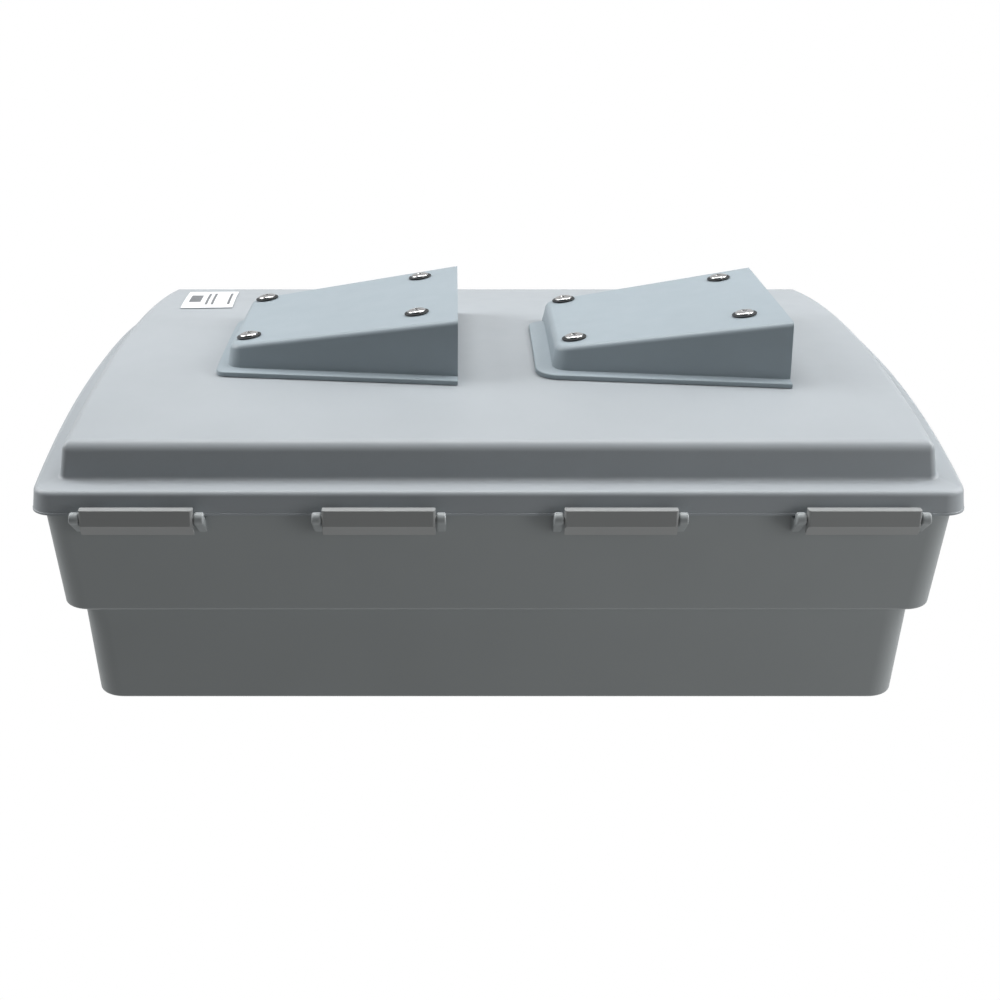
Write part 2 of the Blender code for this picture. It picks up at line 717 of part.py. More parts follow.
def make_tray(name, x):
    floor = TUB_WALL + GAP
    half_x, half_y = TRAY_HALF

    def level(inset, z):
        outline = rounded_ring(half_x - inset, half_y - inset, TRAY_RADIUS - inset)
        return [(x + px, py, z) for px, py in outline]

    bm = bmesh.new()
    rings = skin(bm, [level(4 * MM, floor), level(3 * MM, floor + 1 * MM), level(0, floor + TRAY_HEIGHT)])
    bm.faces.new(rings[0])
    tray = object_from(name, bm, "tray_black")
    thicken(tray, TRAY_WALL)

    posts, bores = [], []
    base = floor + TRAY_WALL
    for y in (-ROD_Y, ROD_Y):
        for holes, radius, low, high in (
            (posts, SOCKET_OUTER, base - 0.6 * MM, base + SOCKET_HEIGHT),
            (bores, ROD_RADIUS + 0.15 * MM, base + 1.5 * MM, base + SOCKET_HEIGHT + 1 * MM),
        ):
            post = bmesh.new()
            bmesh.ops.create_cone(
                post, cap_ends=True, segments=12, radius1=radius, radius2=radius, depth=high - low
            )
            bmesh.ops.translate(post, vec=(x, y, (low + high) / 2), verts=post.verts)
            holes.append(object_from("post", post))
    boolean(tray, merged(f"{name}_posts", posts), "UNION")
    boolean(tray, merged(f"{name}_bores", bores), "DIFFERENCE")


def make_rod(name, x, y):
    """A bait rod: a wire that stands in its socket and hooks over at the top."""
    foot = TUB_WALL + GAP + TRAY_WALL + 1.5 * MM + GAP
    bend = 5 * MM
    turn = arc((bend, ROD_TOP - bend), bend, 180, 90, 6)
    points = [(0, foot)] + turn + [(ROD_HOOK, ROD_TOP)]
    curve = bpy.data.curves.new(name, "CURVE")
    curve.dimensions = "3D"
    curve.bevel_depth = ROD_RADIUS
    curve.bevel_resolution = 2
    curve.use_fill_caps = True
    spline = curve.splines.new("POLY")
    spline.points.add(len(points) - 1)
    for point, (across, z) in zip(spline.points, points):
        point.co = (across, 0, z, 1)
    rod = place(bpy.data.objects.new(name, curve), "steel")
    rod.location = (x, y, 0)


def make_panel(name, spot):
    """A grooved climbing panel with a foot, standing below the closed end of an entry."""
    low = TUB_WALL + GAP
    faces = []
    count = int((PANEL_TOP - low - PANEL_FOOT) / GROOVE_PITCH)
    for i in range(count):
        z = PANEL_TOP - (i + 0.5) * GROOVE_PITCH
        faces += [(0, z), (-GROOVE_DEPTH, z - 0.6 * MM), (-GROOVE_DEPTH, z - 2.0 * MM), (0, z - 2.6 * MM)]
    outline = [(-PANEL_THICK, low), (-PANEL_THICK, PANEL_TOP), (0, PANEL_TOP)]
    outline += faces
    outline += [(0, low + PANEL_THICK), (PANEL_FOOT, low + PANEL_THICK), (PANEL_FOOT, low)]
    panel = extruded(name, outline, -ENTRY_HALF_Y, ENTRY_HALF_Y, "tray_black")
    # The outline's first axis runs along X here, and its width along Y.
    across = Matrix(((1, 0, 0, 0), (0, 0, -1, 0), (0, 1, 0, 0), (0, 0, 0, 1)))
    x = spot[0] + ENTRY_X[0] - PANEL_OFFSET
    panel.matrix_world = Matrix.Translation((x, spot[1], 0)) @ across


def make_label():
    """A thin film near the lid's left end, laid on at a slight angle."""
    steps = 6
    turn = Matrix.Rotation(LABEL_TURN, 2)
    bm = bmesh.new()
    rows = []
    for across in (-LABEL_WIDTH / 2, LABEL_WIDTH / 2):
        row = []
        for i in range(steps + 1):
            x, y = turn @ Vector((across, LABEL_LENGTH * (i / steps - 0.5))) + Vector(LABEL_MIDDLE)
            row.append((x, y, dome_height(y) + GAP + LABEL_THICK))
        rows.append(row)
    skin(bm, rows, closed=False)
    thicken(object_from("label", bm, "label_white"), LABEL_THICK)


clear_scene()
PARTS = make_collection("bait_station")
CUTTERS = make_collection("cutters")
FINISH = {name: make_material(name) for name in MATERIALS}
LATCH_CENTRES = [LATCH_SHIFT + (i - (LATCH_COUNT - 1) / 2) * LATCH_PITCH for i in range(LATCH_COUNT)]

make_tub()
make_seal()
make_lid()
make_label()
for number, latch_x in enumerate(LATCH_CENTRES, 1):
    make_latch(f"latch_{number}", latch_x)
for side, spot in HOOD_PLACES.items():
    make_hinge_pin(f"hinge_pin_{side}", math.copysign(HINGE_X, spot[0]))
    make_hood(f"hood_{side}", side, spot)
    make_rail(f"rail_{side}_front", side, spot, -1)
    make_rail(f"rail_{side}_back", side, spot, 1)
    for number, where in enumerate(screw_places(side, spot), 1):
        make_screw(f"screw_{side}_{number}", where)
        make_washer(f"washer_{side}_{number}", where)
    make_panel(f"climb_panel_{side}", spot)
for number, tray_x in enumerate(TRAY_X, 1):
    make_tray(f"bait_tray_{number}", tray_x)
    make_rod(f"bait_rod_{number}_front", tray_x, -ROD_Y)
    make_rod(f"bait_rod_{number}_back", tray_x, ROD_Y)
for part in PARTS.objects:
    settle(part)
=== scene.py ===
"""The bait station as it looks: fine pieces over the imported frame, their finishes and a soft studio."""

import json
import math

import bmesh
import bpy
from mathutils import Matrix, Vector


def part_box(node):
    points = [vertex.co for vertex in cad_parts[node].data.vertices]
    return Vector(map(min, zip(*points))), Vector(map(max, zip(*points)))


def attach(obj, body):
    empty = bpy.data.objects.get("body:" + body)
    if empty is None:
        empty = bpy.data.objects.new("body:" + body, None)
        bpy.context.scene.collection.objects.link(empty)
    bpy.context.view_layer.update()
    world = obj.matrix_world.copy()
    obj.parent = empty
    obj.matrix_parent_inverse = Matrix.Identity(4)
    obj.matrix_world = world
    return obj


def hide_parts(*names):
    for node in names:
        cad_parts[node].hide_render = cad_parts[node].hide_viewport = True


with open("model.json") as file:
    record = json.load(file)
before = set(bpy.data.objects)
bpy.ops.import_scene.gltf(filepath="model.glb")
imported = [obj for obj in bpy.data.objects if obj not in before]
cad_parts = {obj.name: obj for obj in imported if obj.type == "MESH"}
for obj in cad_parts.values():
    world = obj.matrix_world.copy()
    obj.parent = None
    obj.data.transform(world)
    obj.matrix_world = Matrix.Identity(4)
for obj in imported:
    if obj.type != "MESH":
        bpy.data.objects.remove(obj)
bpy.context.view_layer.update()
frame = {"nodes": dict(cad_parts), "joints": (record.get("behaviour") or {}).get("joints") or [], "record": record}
RECORD = frame["record"]
BODY_OF = {node: body for body, nodes in RECORD["behaviour"]["bodies"].items() for node in nodes}
SLOT_OF = {part["node"]: part["material_slot"] for part in RECORD["subparts"]}
AXIS_OF = {joint["name"]: Vector(joint["pos_m"]) for joint in frame["joints"]}

MM = 0.001
GAP = 0.3 * MM  # left between pieces that touch
WELD = 0.001 * MM  # points closer than this become one
CUT_MARGIN = 1.0 * MM  # cutters reach this far past what they cut
SHARP = math.radians(30)  # edges where the faces turn by more than this are shaded sharp
SQUARE = math.radians(55)  # and by more than this they are rounded, where softened() is used

# Fineness of the round shapes
CORNER_STEPS = 12
SIDE_STEPS = 36
ACROSS_STEPS = 36
FILLET_STEPS = 8
SMALL_FILLET_STEPS = 4
EDGE_STEPS = 3
KNOB_STEPS = 24
ROD_STEPS = 32
TURN_STEPS = 48

# Lid, measured from its own box and from the seal's
LID_HALF_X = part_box("lid")[1].x
DOME_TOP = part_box("lid")[1].z
SEAL_LOW, SEAL_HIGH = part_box("rim_seal")
SEAL_INSET = 4.3 * MM
SEAL_WIDTH = 3.0 * MM
SEAL_THICK = 3.5 * MM
SEAL_ROUND = 0.8 * MM
LID_HALF_Y = SEAL_HIGH.y + SEAL_INSET
LID_WALL = 2.5 * MM
SKIRT_BOTTOM = SEAL_LOW.z - 5.0 * MM
SKIRT_TOP = SEAL_LOW.z + 6.3 * MM
SKIRT_DRAFT = 1.2 * MM  # the skirt is this much narrower at its top
SKIRT_RADIUS = 12.0 * MM
LEDGE_RISE = SEAL_HIGH.z - SEAL_LOW.z - SEAL_THICK
LEDGE_POWER = 2.3
ARCH_STOP = 0.75  # the arch ends this share of a corner radius in from the front and back
SKIRT_FILLET = 2.8 * MM
DOME_INSET = 12.6 * MM
DOME_INSET_Y = 1.9 * MM
DOME_DRAFT = 1.3 * MM
DOME_FOOT = 1.8 * MM
DOME_FILLET = 5.0 * MM
DOME_HALF_Y = LID_HALF_Y - DOME_INSET - DOME_INSET_Y
DOME_RISE = 12.2 * MM
DOME_RADIUS = 3.5 * MM
SMALLEST_RADIUS = 0.8 * MM
EDGE_ROUND = 0.5 * MM  # on every cut or open edge of the mouldings
BEAD = 0.25 * MM  # how far the bead along the skirt's bottom edge stands out
BEAD_HEIGHT = 0.9 * MM

# Tub, as insets from the lid's outline. The lid overhangs its ends more than its front and back.
OVERHANG_X = 1.0 * MM
FOOT_OVERHANG_X = 2.0 * MM
WALL_ROW = 5.0 * MM  # the tub's walls have a row of faces about this often
TUB_WALL = 2.5 * MM
TUB_RIM = SEAL_LOW.z - GAP
RIM_INSET = 3.6 * MM
RIM_ROUND = 0.6 * MM
STEP_HEIGHT = 52.1 * MM
STEP_ROUND = 1.5 * MM
STEP_HOLLOW = 1.0 * MM
UPPER_INSET = 7.5 * MM
LOWER_TOP_INSET = 14.7 * MM
LOWER_BOTTOM_INSET = 17.0 * MM
TUB_RADIUS = 14.0 * MM
TUB_FILLET = 1.2 * MM

# Front latches, placed by their joints
LATCHES = [name for name in frame["nodes"] if name.startswith("latch_")]
TRUNNION_RADIUS = 1.75 * MM
TRUNNION_LENGTH = 3.2 * MM
LATCH_LOW, LATCH_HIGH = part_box(LATCHES[0])
LATCH_HALF = (LATCH_HIGH.x - LATCH_LOW.x) / 2 - TRUNNION_LENGTH
LATCH_FRONT = LATCH_LOW.y
LATCH_TOP = LATCH_HIGH.z
LATCH_BOTTOM = LATCH_LOW.z
LATCH_BEND = LATCH_BOTTOM + 5.0 * MM
LATCH_WALL = 1.5 * MM
CREASE = 0.3 * MM
LATCH_LIP = 4.2 * MM  # how far the top lip reaches back from the front
LATCH_TUCK = 3.1 * MM  # how far the bottom edge is bent back from the front
LATCH_WEB = 2.0 * MM
LATCH_HUB = 1.7 * MM
LATCH_CORNER = 1.5 * MM
LATCH_TOP_ROUND = 0.6 * MM
LATCH_TAIL = (1.1 * MM, 0.9 * MM)  # from the plate's bottom edge to its inner corner
LATCH_BEND_RISE = 0.3 * MM  # the bend is this much higher on the inside
LATCH_ROUND = 0.25 * MM
LATCH_HUB_SWEEP = (-60, 60)  # the part of a circle that the web's end has, in degrees
ROUNDER_SLACK = 0.05 * MM  # the rounding tool's radius is this much larger
ROUNDER_SWEEP = (-80, -10)  # it leaves out the ends of the quarter circle, in degrees
ROUNDER_REACH = 5.0 * MM
WEB_SETBACK = 0.02 * MM  # keeps the web's face out of the plate's end face
TRUNNION_ROOT = 0.8 * MM  # how far a trunnion reaches into its web
TRUNNION_ROUND = 0.3 * MM
SOCKET_RADIUS = 1.85 * MM
SOCKET_DEPTH = 3.4 * MM
EAR_GAP = 0.4 * MM
EAR_WIDTH = 4.4 * MM
EAR_RADIUS = 3.0 * MM
EAR_DROP = 10.0 * MM
EAR_ROUND = 0.9 * MM
EAR_ROOT = 1.6 * MM  # how far the ear reaches into the tub's wall
EAR_TOE = 0.4 * MM  # its foot stops this far inside the rim's outline
EAR_SHOULDER = 1.7 * MM  # its top meets the wall this far below the pivot
EAR_SWEEP = (-35, 215)  # the part of a circle that its knob has, in degrees
CATCH_HALF = 19.0 * MM
CATCH_REACH = 2.9 * MM
CATCH_THICK = 2.0 * MM
CATCH_RISE = 1.0 * MM  # its underside is this far above the latch's pivot
CATCH_ROOT = 1.2 * MM  # how far it reaches into the skirt

# Rear hinges, on the lid's joint
HINGE_AXIS = AXIS_OF["lid_hinge"].yz
KNUCKLE_RADIUS = 3.2 * MM
KNUCKLE_HALF = 25.0 * MM
LEAF_TOP = 112.0 * MM
LEAF_ROOT = 2.0 * MM  # how far the leaf reaches into the skirt
LEAF_THICK = 0.8 * MM  # how far it stands out from the skirt
LEAF_RISE = 0.6 * MM  # its foot is this far above the skirt's bottom edge
KNUCKLE_SWEEP = (70, -165)  # the part of a circle that the knuckle has, in degrees
PIN_RADIUS = 1.5 * MM
PIN_BORE = 1.6 * MM
PIN_HEAD_RADIUS = 2.6 * MM
PIN_HEAD = 1.2 * MM
# The rounding of the pin's head, as (radius, depth below its end)
PIN_CROWN = ((0, 0), (1.4 * MM, 0.1 * MM), (2.2 * MM, 0.4 * MM), (PIN_HEAD_RADIUS, 0.8 * MM))
PIN_CHAMFER = 0.5 * MM

# Entry hoods, each measured from a point near the middle of its plan
SIDES = ("left", "right")
HOOD_WALL = 2.3 * MM
HOOD_LEFT = -52.0 * MM
HOOD_RIGHT = 65.2 * MM
HOOD_SLOPE = 0.142
HOOD_HALF_LEFT = 51.5 * MM
HOOD_HALF_RIGHT = 63.3 * MM
HOOD_DRAFT = 1.6 * MM
HOOD_FILLET = 3.0 * MM
HOOD_CORNER = 8.0 * MM
HOOD_LIFT = 1.5 * GAP  # between the dome and the hood's foot
HOOD_SHOULDER = (0.2 * MM, 0.8 * MM)  # the inside corner's step in, and its drop below the inside top
HOOD_STEPS = 12
HOOD_RIGHT_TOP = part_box("hood_left")[1].z
FLANGE_SIDE = 6.2 * MM
FLANGE_ENDS = {"left": 4.6 * MM, "right": 8.3 * MM}  # its width round the closed end
FLANGE_CORNERS = {"left": 6.0 * MM, "right": 12.0 * MM}
FLANGE_STOP = 36.0 * MM  # it runs out this far back of the hood's middle
FLANGE_RUNOUT = 9.0 * MM
FLANGE_ROUND = 0.7 * MM
FLANGE_SETBACK = 0.1 * MM  # it starts just inside the mouth, so that its end face isn't in the hood's
ENTRY_X = (-45.0 * MM, 20.0 * MM)
ENTRY_HALF_Y = 30.0 * MM
ENTRY_RADIUS = 6.0 * MM
ENTRY_CUT = (-30.0 * MM, 10.0 * MM)  # the cutter's ends, from the top of the dome
RAIL_X = (-46.0 * MM, 60.0 * MM)
RAIL_ROUND = 0.4 * MM

# Screws and their rubber washers
SCREW_SPACING = (87.0 * MM, 81.4 * MM)
SCREW_SHIFTS = {"left": (0.6 * MM, 3.8 * MM), "right": (1.9 * MM, 3.8 * MM)}
SCREW_RADIUS = 2.4 * MM
SCREW_LENGTH = 11.0 * MM
SCREW_HEAD_RADIUS = 4.75 * MM
SCREW_HEAD = 1.2 * MM
CROWN_POWER = 0.75  # below 1 the crown is squarer than an ellipse
CROWN_STEPS = 16
THREAD_PITCH = 1.0 * MM
THREAD_DEPTH = 0.35 * MM
THREAD_START = 0.6 * MM
SCREW_TIP = 1.0 * MM
SCREW_BORE = 2.75 * MM
CROSS_LENGTH = 5.2 * MM
CROSS_WIDTH = 1.3 * MM
CROSS_DEPTH = 1.3 * MM
CROSS_TAPER = 0.35  # its length at the bottom, as a share of that at the top
CROSS_TURN = 20  # degrees from the slope's direction
WASHER_RADIUS = 6.35 * MM
WASHER = 0.6 * MM
WASHER_ROUND = 0.3 * MM

# Inside
TRAYS = [name for name in frame["nodes"] if name.startswith("bait_tray_")]
TRAY_WALL = 1.8 * MM
TRAY_RADIUS = 12.0 * MM
TRAY_SPREAD = 3.0 * MM  # its foot is this much further in than its rim
TRAY_FILLET = 1.2 * MM
TRAY_BANDS = (4.0 * MM, 3.0 * MM)  # rows of faces this far above its foot and below its rim
TRAY_ROUND = 0.4 * MM
TRAY_STEPS = 5
ROD_RADIUS = 1.5 * MM
ROD_BEND = 5.0 * MM
SOCKET_OUTER = 4.5 * MM
SOCKET_HEIGHT = 9.0 * MM
SOCKET_ROUND = 0.5 * MM
SOCKET_ROOT = 0.6 * MM  # how far a post reaches into the tray's floor
SOCKET_FLOOR = 1.5 * MM  # what its bore leaves at the bottom
ROD_CLEARANCE = 0.15 * MM
ROD_ROUND = 0.3 * MM
PANEL_THICK = 3.0 * MM
GROOVE_PITCH = 9.0 * MM
GROOVE_DEPTH = 0.8 * MM
GROOVE_SLOPE = 0.6 * MM
GROOVE_WIDTH = 2.6 * MM
PANEL_ROUND = 0.3 * MM

# Label
LABEL_LOW, LABEL_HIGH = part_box("label")
LABEL_THICK = 0.3 * MM
LABEL_MIDDLE = (LABEL_LOW.xy + LABEL_HIGH.xy) / 2
LABEL_WIDTH = 30.6 * MM
LABEL_LENGTH = 66.0 * MM
LABEL_TURN = math.radians(4.4)
LABEL_STEPS = (60, 100)
# What is printed on it, as shares of its width and of its length: three bars and a block
LABEL_BARS = ((0.43, 0.48), (0.55, 0.60), (0.87, 0.92))
LABEL_BAR_RUN = (0.16, 0.84)
LABEL_BLOCK = ((0.10, 0.34), (0.30, 0.72))

# Studio
CAMERA_PLACE = (-20.8 * MM, -809.3 * MM, 362.3 * MM)
CAMERA_TILT = math.radians(68.604)
CAMERA_LENS = 54.0
CAMERA_SENSOR = 36.0
CAMERA_SHIFT = 0.0462
FLOOR_HALF = 30.0
FLOOR_DROP = 0.5 * MM
WHITE = (1.0, 1.0, 1.0)
# Soft lobes of light by direction: axis, brightness and how narrow
LOBES = {
    "zenith": ((0, 0, 1), 0.075, 2.0),
    "floor": ((0, 0, -1), 0.665, 1.0),
    "back": ((0, 1, 0), 0.542, 1.0),
    "right": ((1, 0, 0), 0.088, 1.0),
    "right_glow": ((1, 0, 0), 0.424, 6.0),
    "left_glow": ((-1, 0, 0), 0.417, 6.0),
}
# Softboxes: place, width and depth in metres, and power in watts. They all aim at the object.
SOFTBOXES = {
    "softbox_top": ((0.0, 0.25, 1.5), (1.2, 0.8), 15.8),
    "softbox_left": ((-1.1, 0.2, 0.9), (0.7, 0.9), 12.0),
    "softbox_right": ((1.1, 0.1, 0.9), (0.7, 0.9), 13.4),
    "softbox_low": ((0.75, -0.75, 0.25), (0.4, 0.4), 1.6),
}


# Making and joining meshes


def made_from(name, bm):
    """A new object from a bmesh, with its faces turned outwards."""
    bmesh.ops.remove_doubles(bm, verts=bm.verts, dist=WELD)
    bmesh.ops.recalc_face_normals(bm, faces=bm.faces)
    mesh = bpy.data.meshes.new(name)
    bm.to_mesh(mesh)
    bm.free()
    obj = bpy.data.objects.new(name, mesh)
    bpy.context.scene.collection.objects.link(obj)
    return obj


def settled(obj):
    """The object with its modifiers applied, as a plain welded mesh in world space."""
    bpy.context.view_layer.update()
    graph = bpy.context.evaluated_depsgraph_get()
    mesh = bpy.data.meshes.new_from_object(obj.evaluated_get(graph))
    bm = bmesh.new()
    bm.from_mesh(mesh)
    bmesh.ops.transform(bm, matrix=obj.matrix_world, verts=bm.verts)
    name = obj.name
    bpy.data.objects.remove(obj)
    bpy.data.meshes.remove(mesh)
    return made_from(name, bm)


def gathered(name, pieces):
    """One object from several that don't touch."""
    whole = bmesh.new()
    for piece in pieces:
        whole.from_mesh(piece.data)
        bpy.data.objects.remove(piece)
    return made_from(name, whole)


def combined(obj, tools, operation):
    """The object joined with the tools, or cut by them. They don't touch each other, and are used up."""
    tool = gathered("tool", tools)
    modifier = obj.modifiers.new("combine", "BOOLEAN")
    modifier.operation = operation
    modifier.object = tool
    modifier.solver = "EXACT"
    whole = settled(obj)
    bpy.data.objects.remove(tool)
    return whole


def thickened(obj, thickness):
    """Gives an open outer skin its wall, on the inside."""
    modifier = obj.modifiers.new("wall", "SOLIDIFY")
    modifier.thickness = thickness
    modifier.offset = -1
    modifier.use_even_offset = True
    modifier.use_quality_normals = True
    return settled(obj)


def softened(obj, width=EDGE_ROUND):
    """Rounds the object's square edges."""
    modifier = obj.modifiers.new("edges", "BEVEL")
    modifier.limit_method = "ANGLE"
    modifier.angle_limit = SQUARE
    modifier.width = width
    modifier.segments = EDGE_STEPS
    modifier.harden_normals = False
    return settled(obj)


def shown(obj, node):
    """Puts a finished piece on the frame in place of its CAD node, smooth shaded and with its finish."""
    slot = SLOT_OF[node]
    obj.name = f"{node}_look"
    obj.data.materials.clear()
    obj.data.materials.append(FINISH[slot])
    obj.data.shade_smooth()
    obj.data.set_sharp_from_angle(angle=SHARP)
    weighted = obj.modifiers.new("shading", "WEIGHTED_NORMAL")
    weighted.keep_sharp = True
    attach(obj, BODY_OF[node])
    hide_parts(node)
    return obj


# Shapes


def arc(centre, radius, start, end, steps=FILLET_STEPS):
    """Points on an arc from start to end, in degrees."""
    angles = [math.radians(start + (end - start) * i / steps) for i in range(steps + 1)]
    return [(centre[0] + radius * math.cos(a), centre[1] + radius * math.sin(a)) for a in angles]


def between(first, last, steps):
    """The points strictly between two values."""
    return [first + (last - first) * i / steps for i in range(1, steps)]


def rounded_ring(half_x, half_y, radius, sides=SIDE_STEPS, across=ACROSS_STEPS):
    """A rounded rectangle's points: up its right side, across its back, down its left, across its front."""
    straight_x, straight_y = half_x - radius, half_y - radius
    right = arc((straight_x, -straight_y), radius, -90, 0, CORNER_STEPS)
    right += [(half_x, y) for y in between(-straight_y, straight_y, sides)]
    right += arc((straight_x, straight_y), radius, 0, 90, CORNER_STEPS)
    back = [(x, half_y) for x in between(straight_x, -straight_x, across)]
    return right + back + [(-x, -y) for x, y in right + back]


def skin(bm, rings, closed=True):
    """Joins rings of points with quads, and returns the rings' vertices."""
    made = [[bm.verts.new(point) for point in ring] for ring in rings]
    count = len(made[0])
    for low, high in zip(made, made[1:]):
        for i in range(count if closed else count - 1):
            j = (i + 1) % count
            bm.faces.new((low[i], low[j], high[j], high[i]))
    return made


def grid(bm, rows):
    """Joins rows of vertices of equal length with quads."""
    for low, high in zip(rows, rows[1:]):
        for i in range(len(low) - 1):
            bm.faces.new((low[i], low[i + 1], high[i + 1], high[i]))


def cap(bm, ring, across=ACROSS_STEPS):
    """Fills a rounded_ring with a grid, so that it can be arched and cut."""
    half = len(ring) // 2
    tall = half - across + 1
    right, back = ring[:tall], ring[tall:half]
    left, front = ring[half : half + tall][::-1], ring[half + tall :][::-1]
    rows = []
    for start, end in zip(right, left):
        inner = [bm.verts.new(start.co.lerp(end.co, i / across)) for i in range(1, across)]
        rows.append([start, *inner, end])
    grid(bm, [[right[0], *front, left[0]], *rows[1:-1], [right[-1], *back, left[-1]]])
    bmesh.ops.delete(bm, geom=rows[0][1:-1] + rows[-1][1:-1], context="VERTS")


def lid_ring(inset, height, radius, inset_y=0.0):
    """A ring inset from the lid's outline, whose height is a function of y."""
    radius = max(radius, SMALLEST_RADIUS)
    outline = rounded_ring(LID_HALF_X - inset, LID_HALF_Y - inset - inset_y, radius)
    return [(x, y, height(y)) for x, y in outline]


def tub_ring(inset, height, radius, overhang=OVERHANG_X):
    """A ring of the tub or its seal, which is set further in at the ends."""
    return lid_ring(inset + overhang, height, radius, -overhang)


def box_between(name, low, high):
    """A plain box between two corners."""
    bm = bmesh.new()
    bmesh.ops.create_cube(bm, size=1.0)
    size = Vector(high) - Vector(low)
    bmesh.ops.scale(bm, vec=size, verts=bm.verts)
    bmesh.ops.translate(bm, vec=(Vector(high) + Vector(low)) / 2, verts=bm.verts)
    return made_from(name, bm)


def rod_between(name, start, end, radius):
    """A plain round rod from one point to another."""
    run = Vector(end) - Vector(start)
    bm = bmesh.new()
    bmesh.ops.create_cone(
        bm, cap_ends=True, segments=ROD_STEPS, radius1=radius, radius2=radius, depth=run.length
    )
    turn = run.to_track_quat("Z", "Y").to_matrix().to_4x4()
    middle = Matrix.Translation((Vector(start) + Vector(end)) / 2)
    bmesh.ops.transform(bm, matrix=middle @ turn, verts=bm.verts)
    return made_from(name, bm)


def extruded(name, outline, x_low, x_high, rounding):
    """A flat outline of (y, z) points, given its width along X, with rounded edges."""
    curve = bpy.data.curves.new(name, "CURVE")
    curve.dimensions = "2D"
    curve.fill_mode = "BOTH"
    curve.extrude = (x_high - x_low) / 2 - rounding
    curve.bevel_depth = rounding
    curve.bevel_resolution = 3
    curve.offset = -rounding
    spline = curve.splines.new("POLY")
    spline.points.add(len(outline) - 1)
    for point, (y, z) in zip(spline.points, outline):
        point.co = (y, z, 0, 1)
    spline.use_cyclic_u = True
    obj = bpy.data.objects.new(name, curve)
    bpy.context.scene.collection.objects.link(obj)
    upright = Matrix(((0, 0, 1, 0), (1, 0, 0, 0), (0, 1, 0, 0), (0, 0, 0, 1)))
    obj.matrix_world = Matrix.Translation(((x_low + x_high) / 2, 0, 0)) @ upright
    return settled(obj)


def turned(name, profile, matrix):
    """A profile of (radius, z) points, turned about Z and then placed by a matrix."""
    bm = bmesh.new()
    rings = []
    for i in range(TURN_STEPS):
        angle = math.tau * i / TURN_STEPS
        rings.append([(r * math.cos(angle), r * math.sin(angle), z) for r, z in profile])
    skin(bm, [*rings, rings[0]], closed=False)
    bmesh.ops.transform(bm, matrix=matrix, verts=bm.verts)
    return made_from(name, bm)


# Heights of the lid's and the hoods' sloping surfaces


def arch(y):
    """How much higher the ends of the lid and of the tub's rim are at this y."""
    reach = min(abs(y) / (LID_HALF_Y - ARCH_STOP * SKIRT_RADIUS), 1.0)
    return LEDGE_RISE * (1 - reach**LEDGE_POWER)


def ledge_height(y):
    return SKIRT_TOP + arch(y)


def dome_height(y):
    return DOME_TOP - DOME_RISE * (y / DOME_HALF_Y) ** 2


def hood_top(x):
    """Height of a hood's sloping top; x is measured from the hood's middle."""
    return HOOD_RIGHT_TOP - HOOD_SLOPE * (HOOD_RIGHT - x)


def above(base, rise):
    """A height function that lies this much over another one."""
    return lambda y: base(y) + rise


def hood_middle(side):
    """The point that a hood is measured from."""
    low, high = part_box(f"hood_{side}")
    half_front = HOOD_HALF_RIGHT + HOOD_DRAFT + FLANGE_SIDE
    return high.x - HOOD_RIGHT, low.y + half_front


# The tub


def ear_outline(knob, side):
    """A bracket from the tub's wall to the knob that holds a pivot. side is -1 in front and 1 behind."""
    y, z = knob
    wall = LID_HALF_Y - RIM_INSET
    root = side * (wall - EAR_ROOT)
    points = [(root, z - EAR_DROP), (side * (wall - EAR_TOE), z - EAR_DROP)]
    points += [(y + side * dy, z + dz) for dy, dz in arc((0, 0), EAR_RADIUS, *EAR_SWEEP, KNOB_STEPS)]
    return points + [(root, z - EAR_SHOULDER)]


def ear_spans(centre, half):
    """The x ranges of the two ears around a latch or a hinge leaf."""
    inner = half + EAR_GAP
    return (
        (centre - inner - EAR_WIDTH, centre - inner),
        (centre + inner, centre + inner + EAR_WIDTH),
    )


def wall_rows(low, high):
    """Rows up a sloping wall between two (inset, height, corner radius, overhang) rings."""
    count = round((high[1] - low[1]) / WALL_ROW)
    return [tuple(a + (b - a) * i / count for a, b in zip(low, high)) for i in range(1, count)]


def tub_profile():
    """The tub's rings from the underside up its outer face, as (inset, height, corner radius, overhang)."""
    foot, lower, upper = [], [], []
    for inset, z in arc((LOWER_BOTTOM_INSET + TUB_FILLET, TUB_FILLET), TUB_FILLET, 270, 180):
        foot.append((inset, z, TUB_RADIUS + LOWER_BOTTOM_INSET - inset, FOOT_OVERHANG_X))
    hollow = (LOWER_TOP_INSET - STEP_HOLLOW, STEP_HEIGHT - STEP_HOLLOW)
    for inset, z in arc(hollow, STEP_HOLLOW, 0, 90, SMALL_FILLET_STEPS):
        lower.append((inset, z, TUB_RADIUS + LOWER_TOP_INSET - inset, OVERHANG_X))
    for inset, z in arc((UPPER_INSET + STEP_ROUND, STEP_HEIGHT + STEP_ROUND), STEP_ROUND, 270, 180):
        upper.append((inset, z, TUB_RADIUS + UPPER_INSET - inset, OVERHANG_X))
    rim = (RIM_INSET, SKIRT_BOTTOM, SKIRT_RADIUS, OVERHANG_X)
    return [*foot, *wall_rows(foot[-1], lower[0]), *lower, *upper, *wall_rows(upper[-1], rim), rim]


def hinge_centres():
    """The x of the middle of each rear hinge."""
    return [(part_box(f"hinge_pin_{side}")[0].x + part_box(f"hinge_pin_{side}")[1].x) / 2 for side in SIDES]


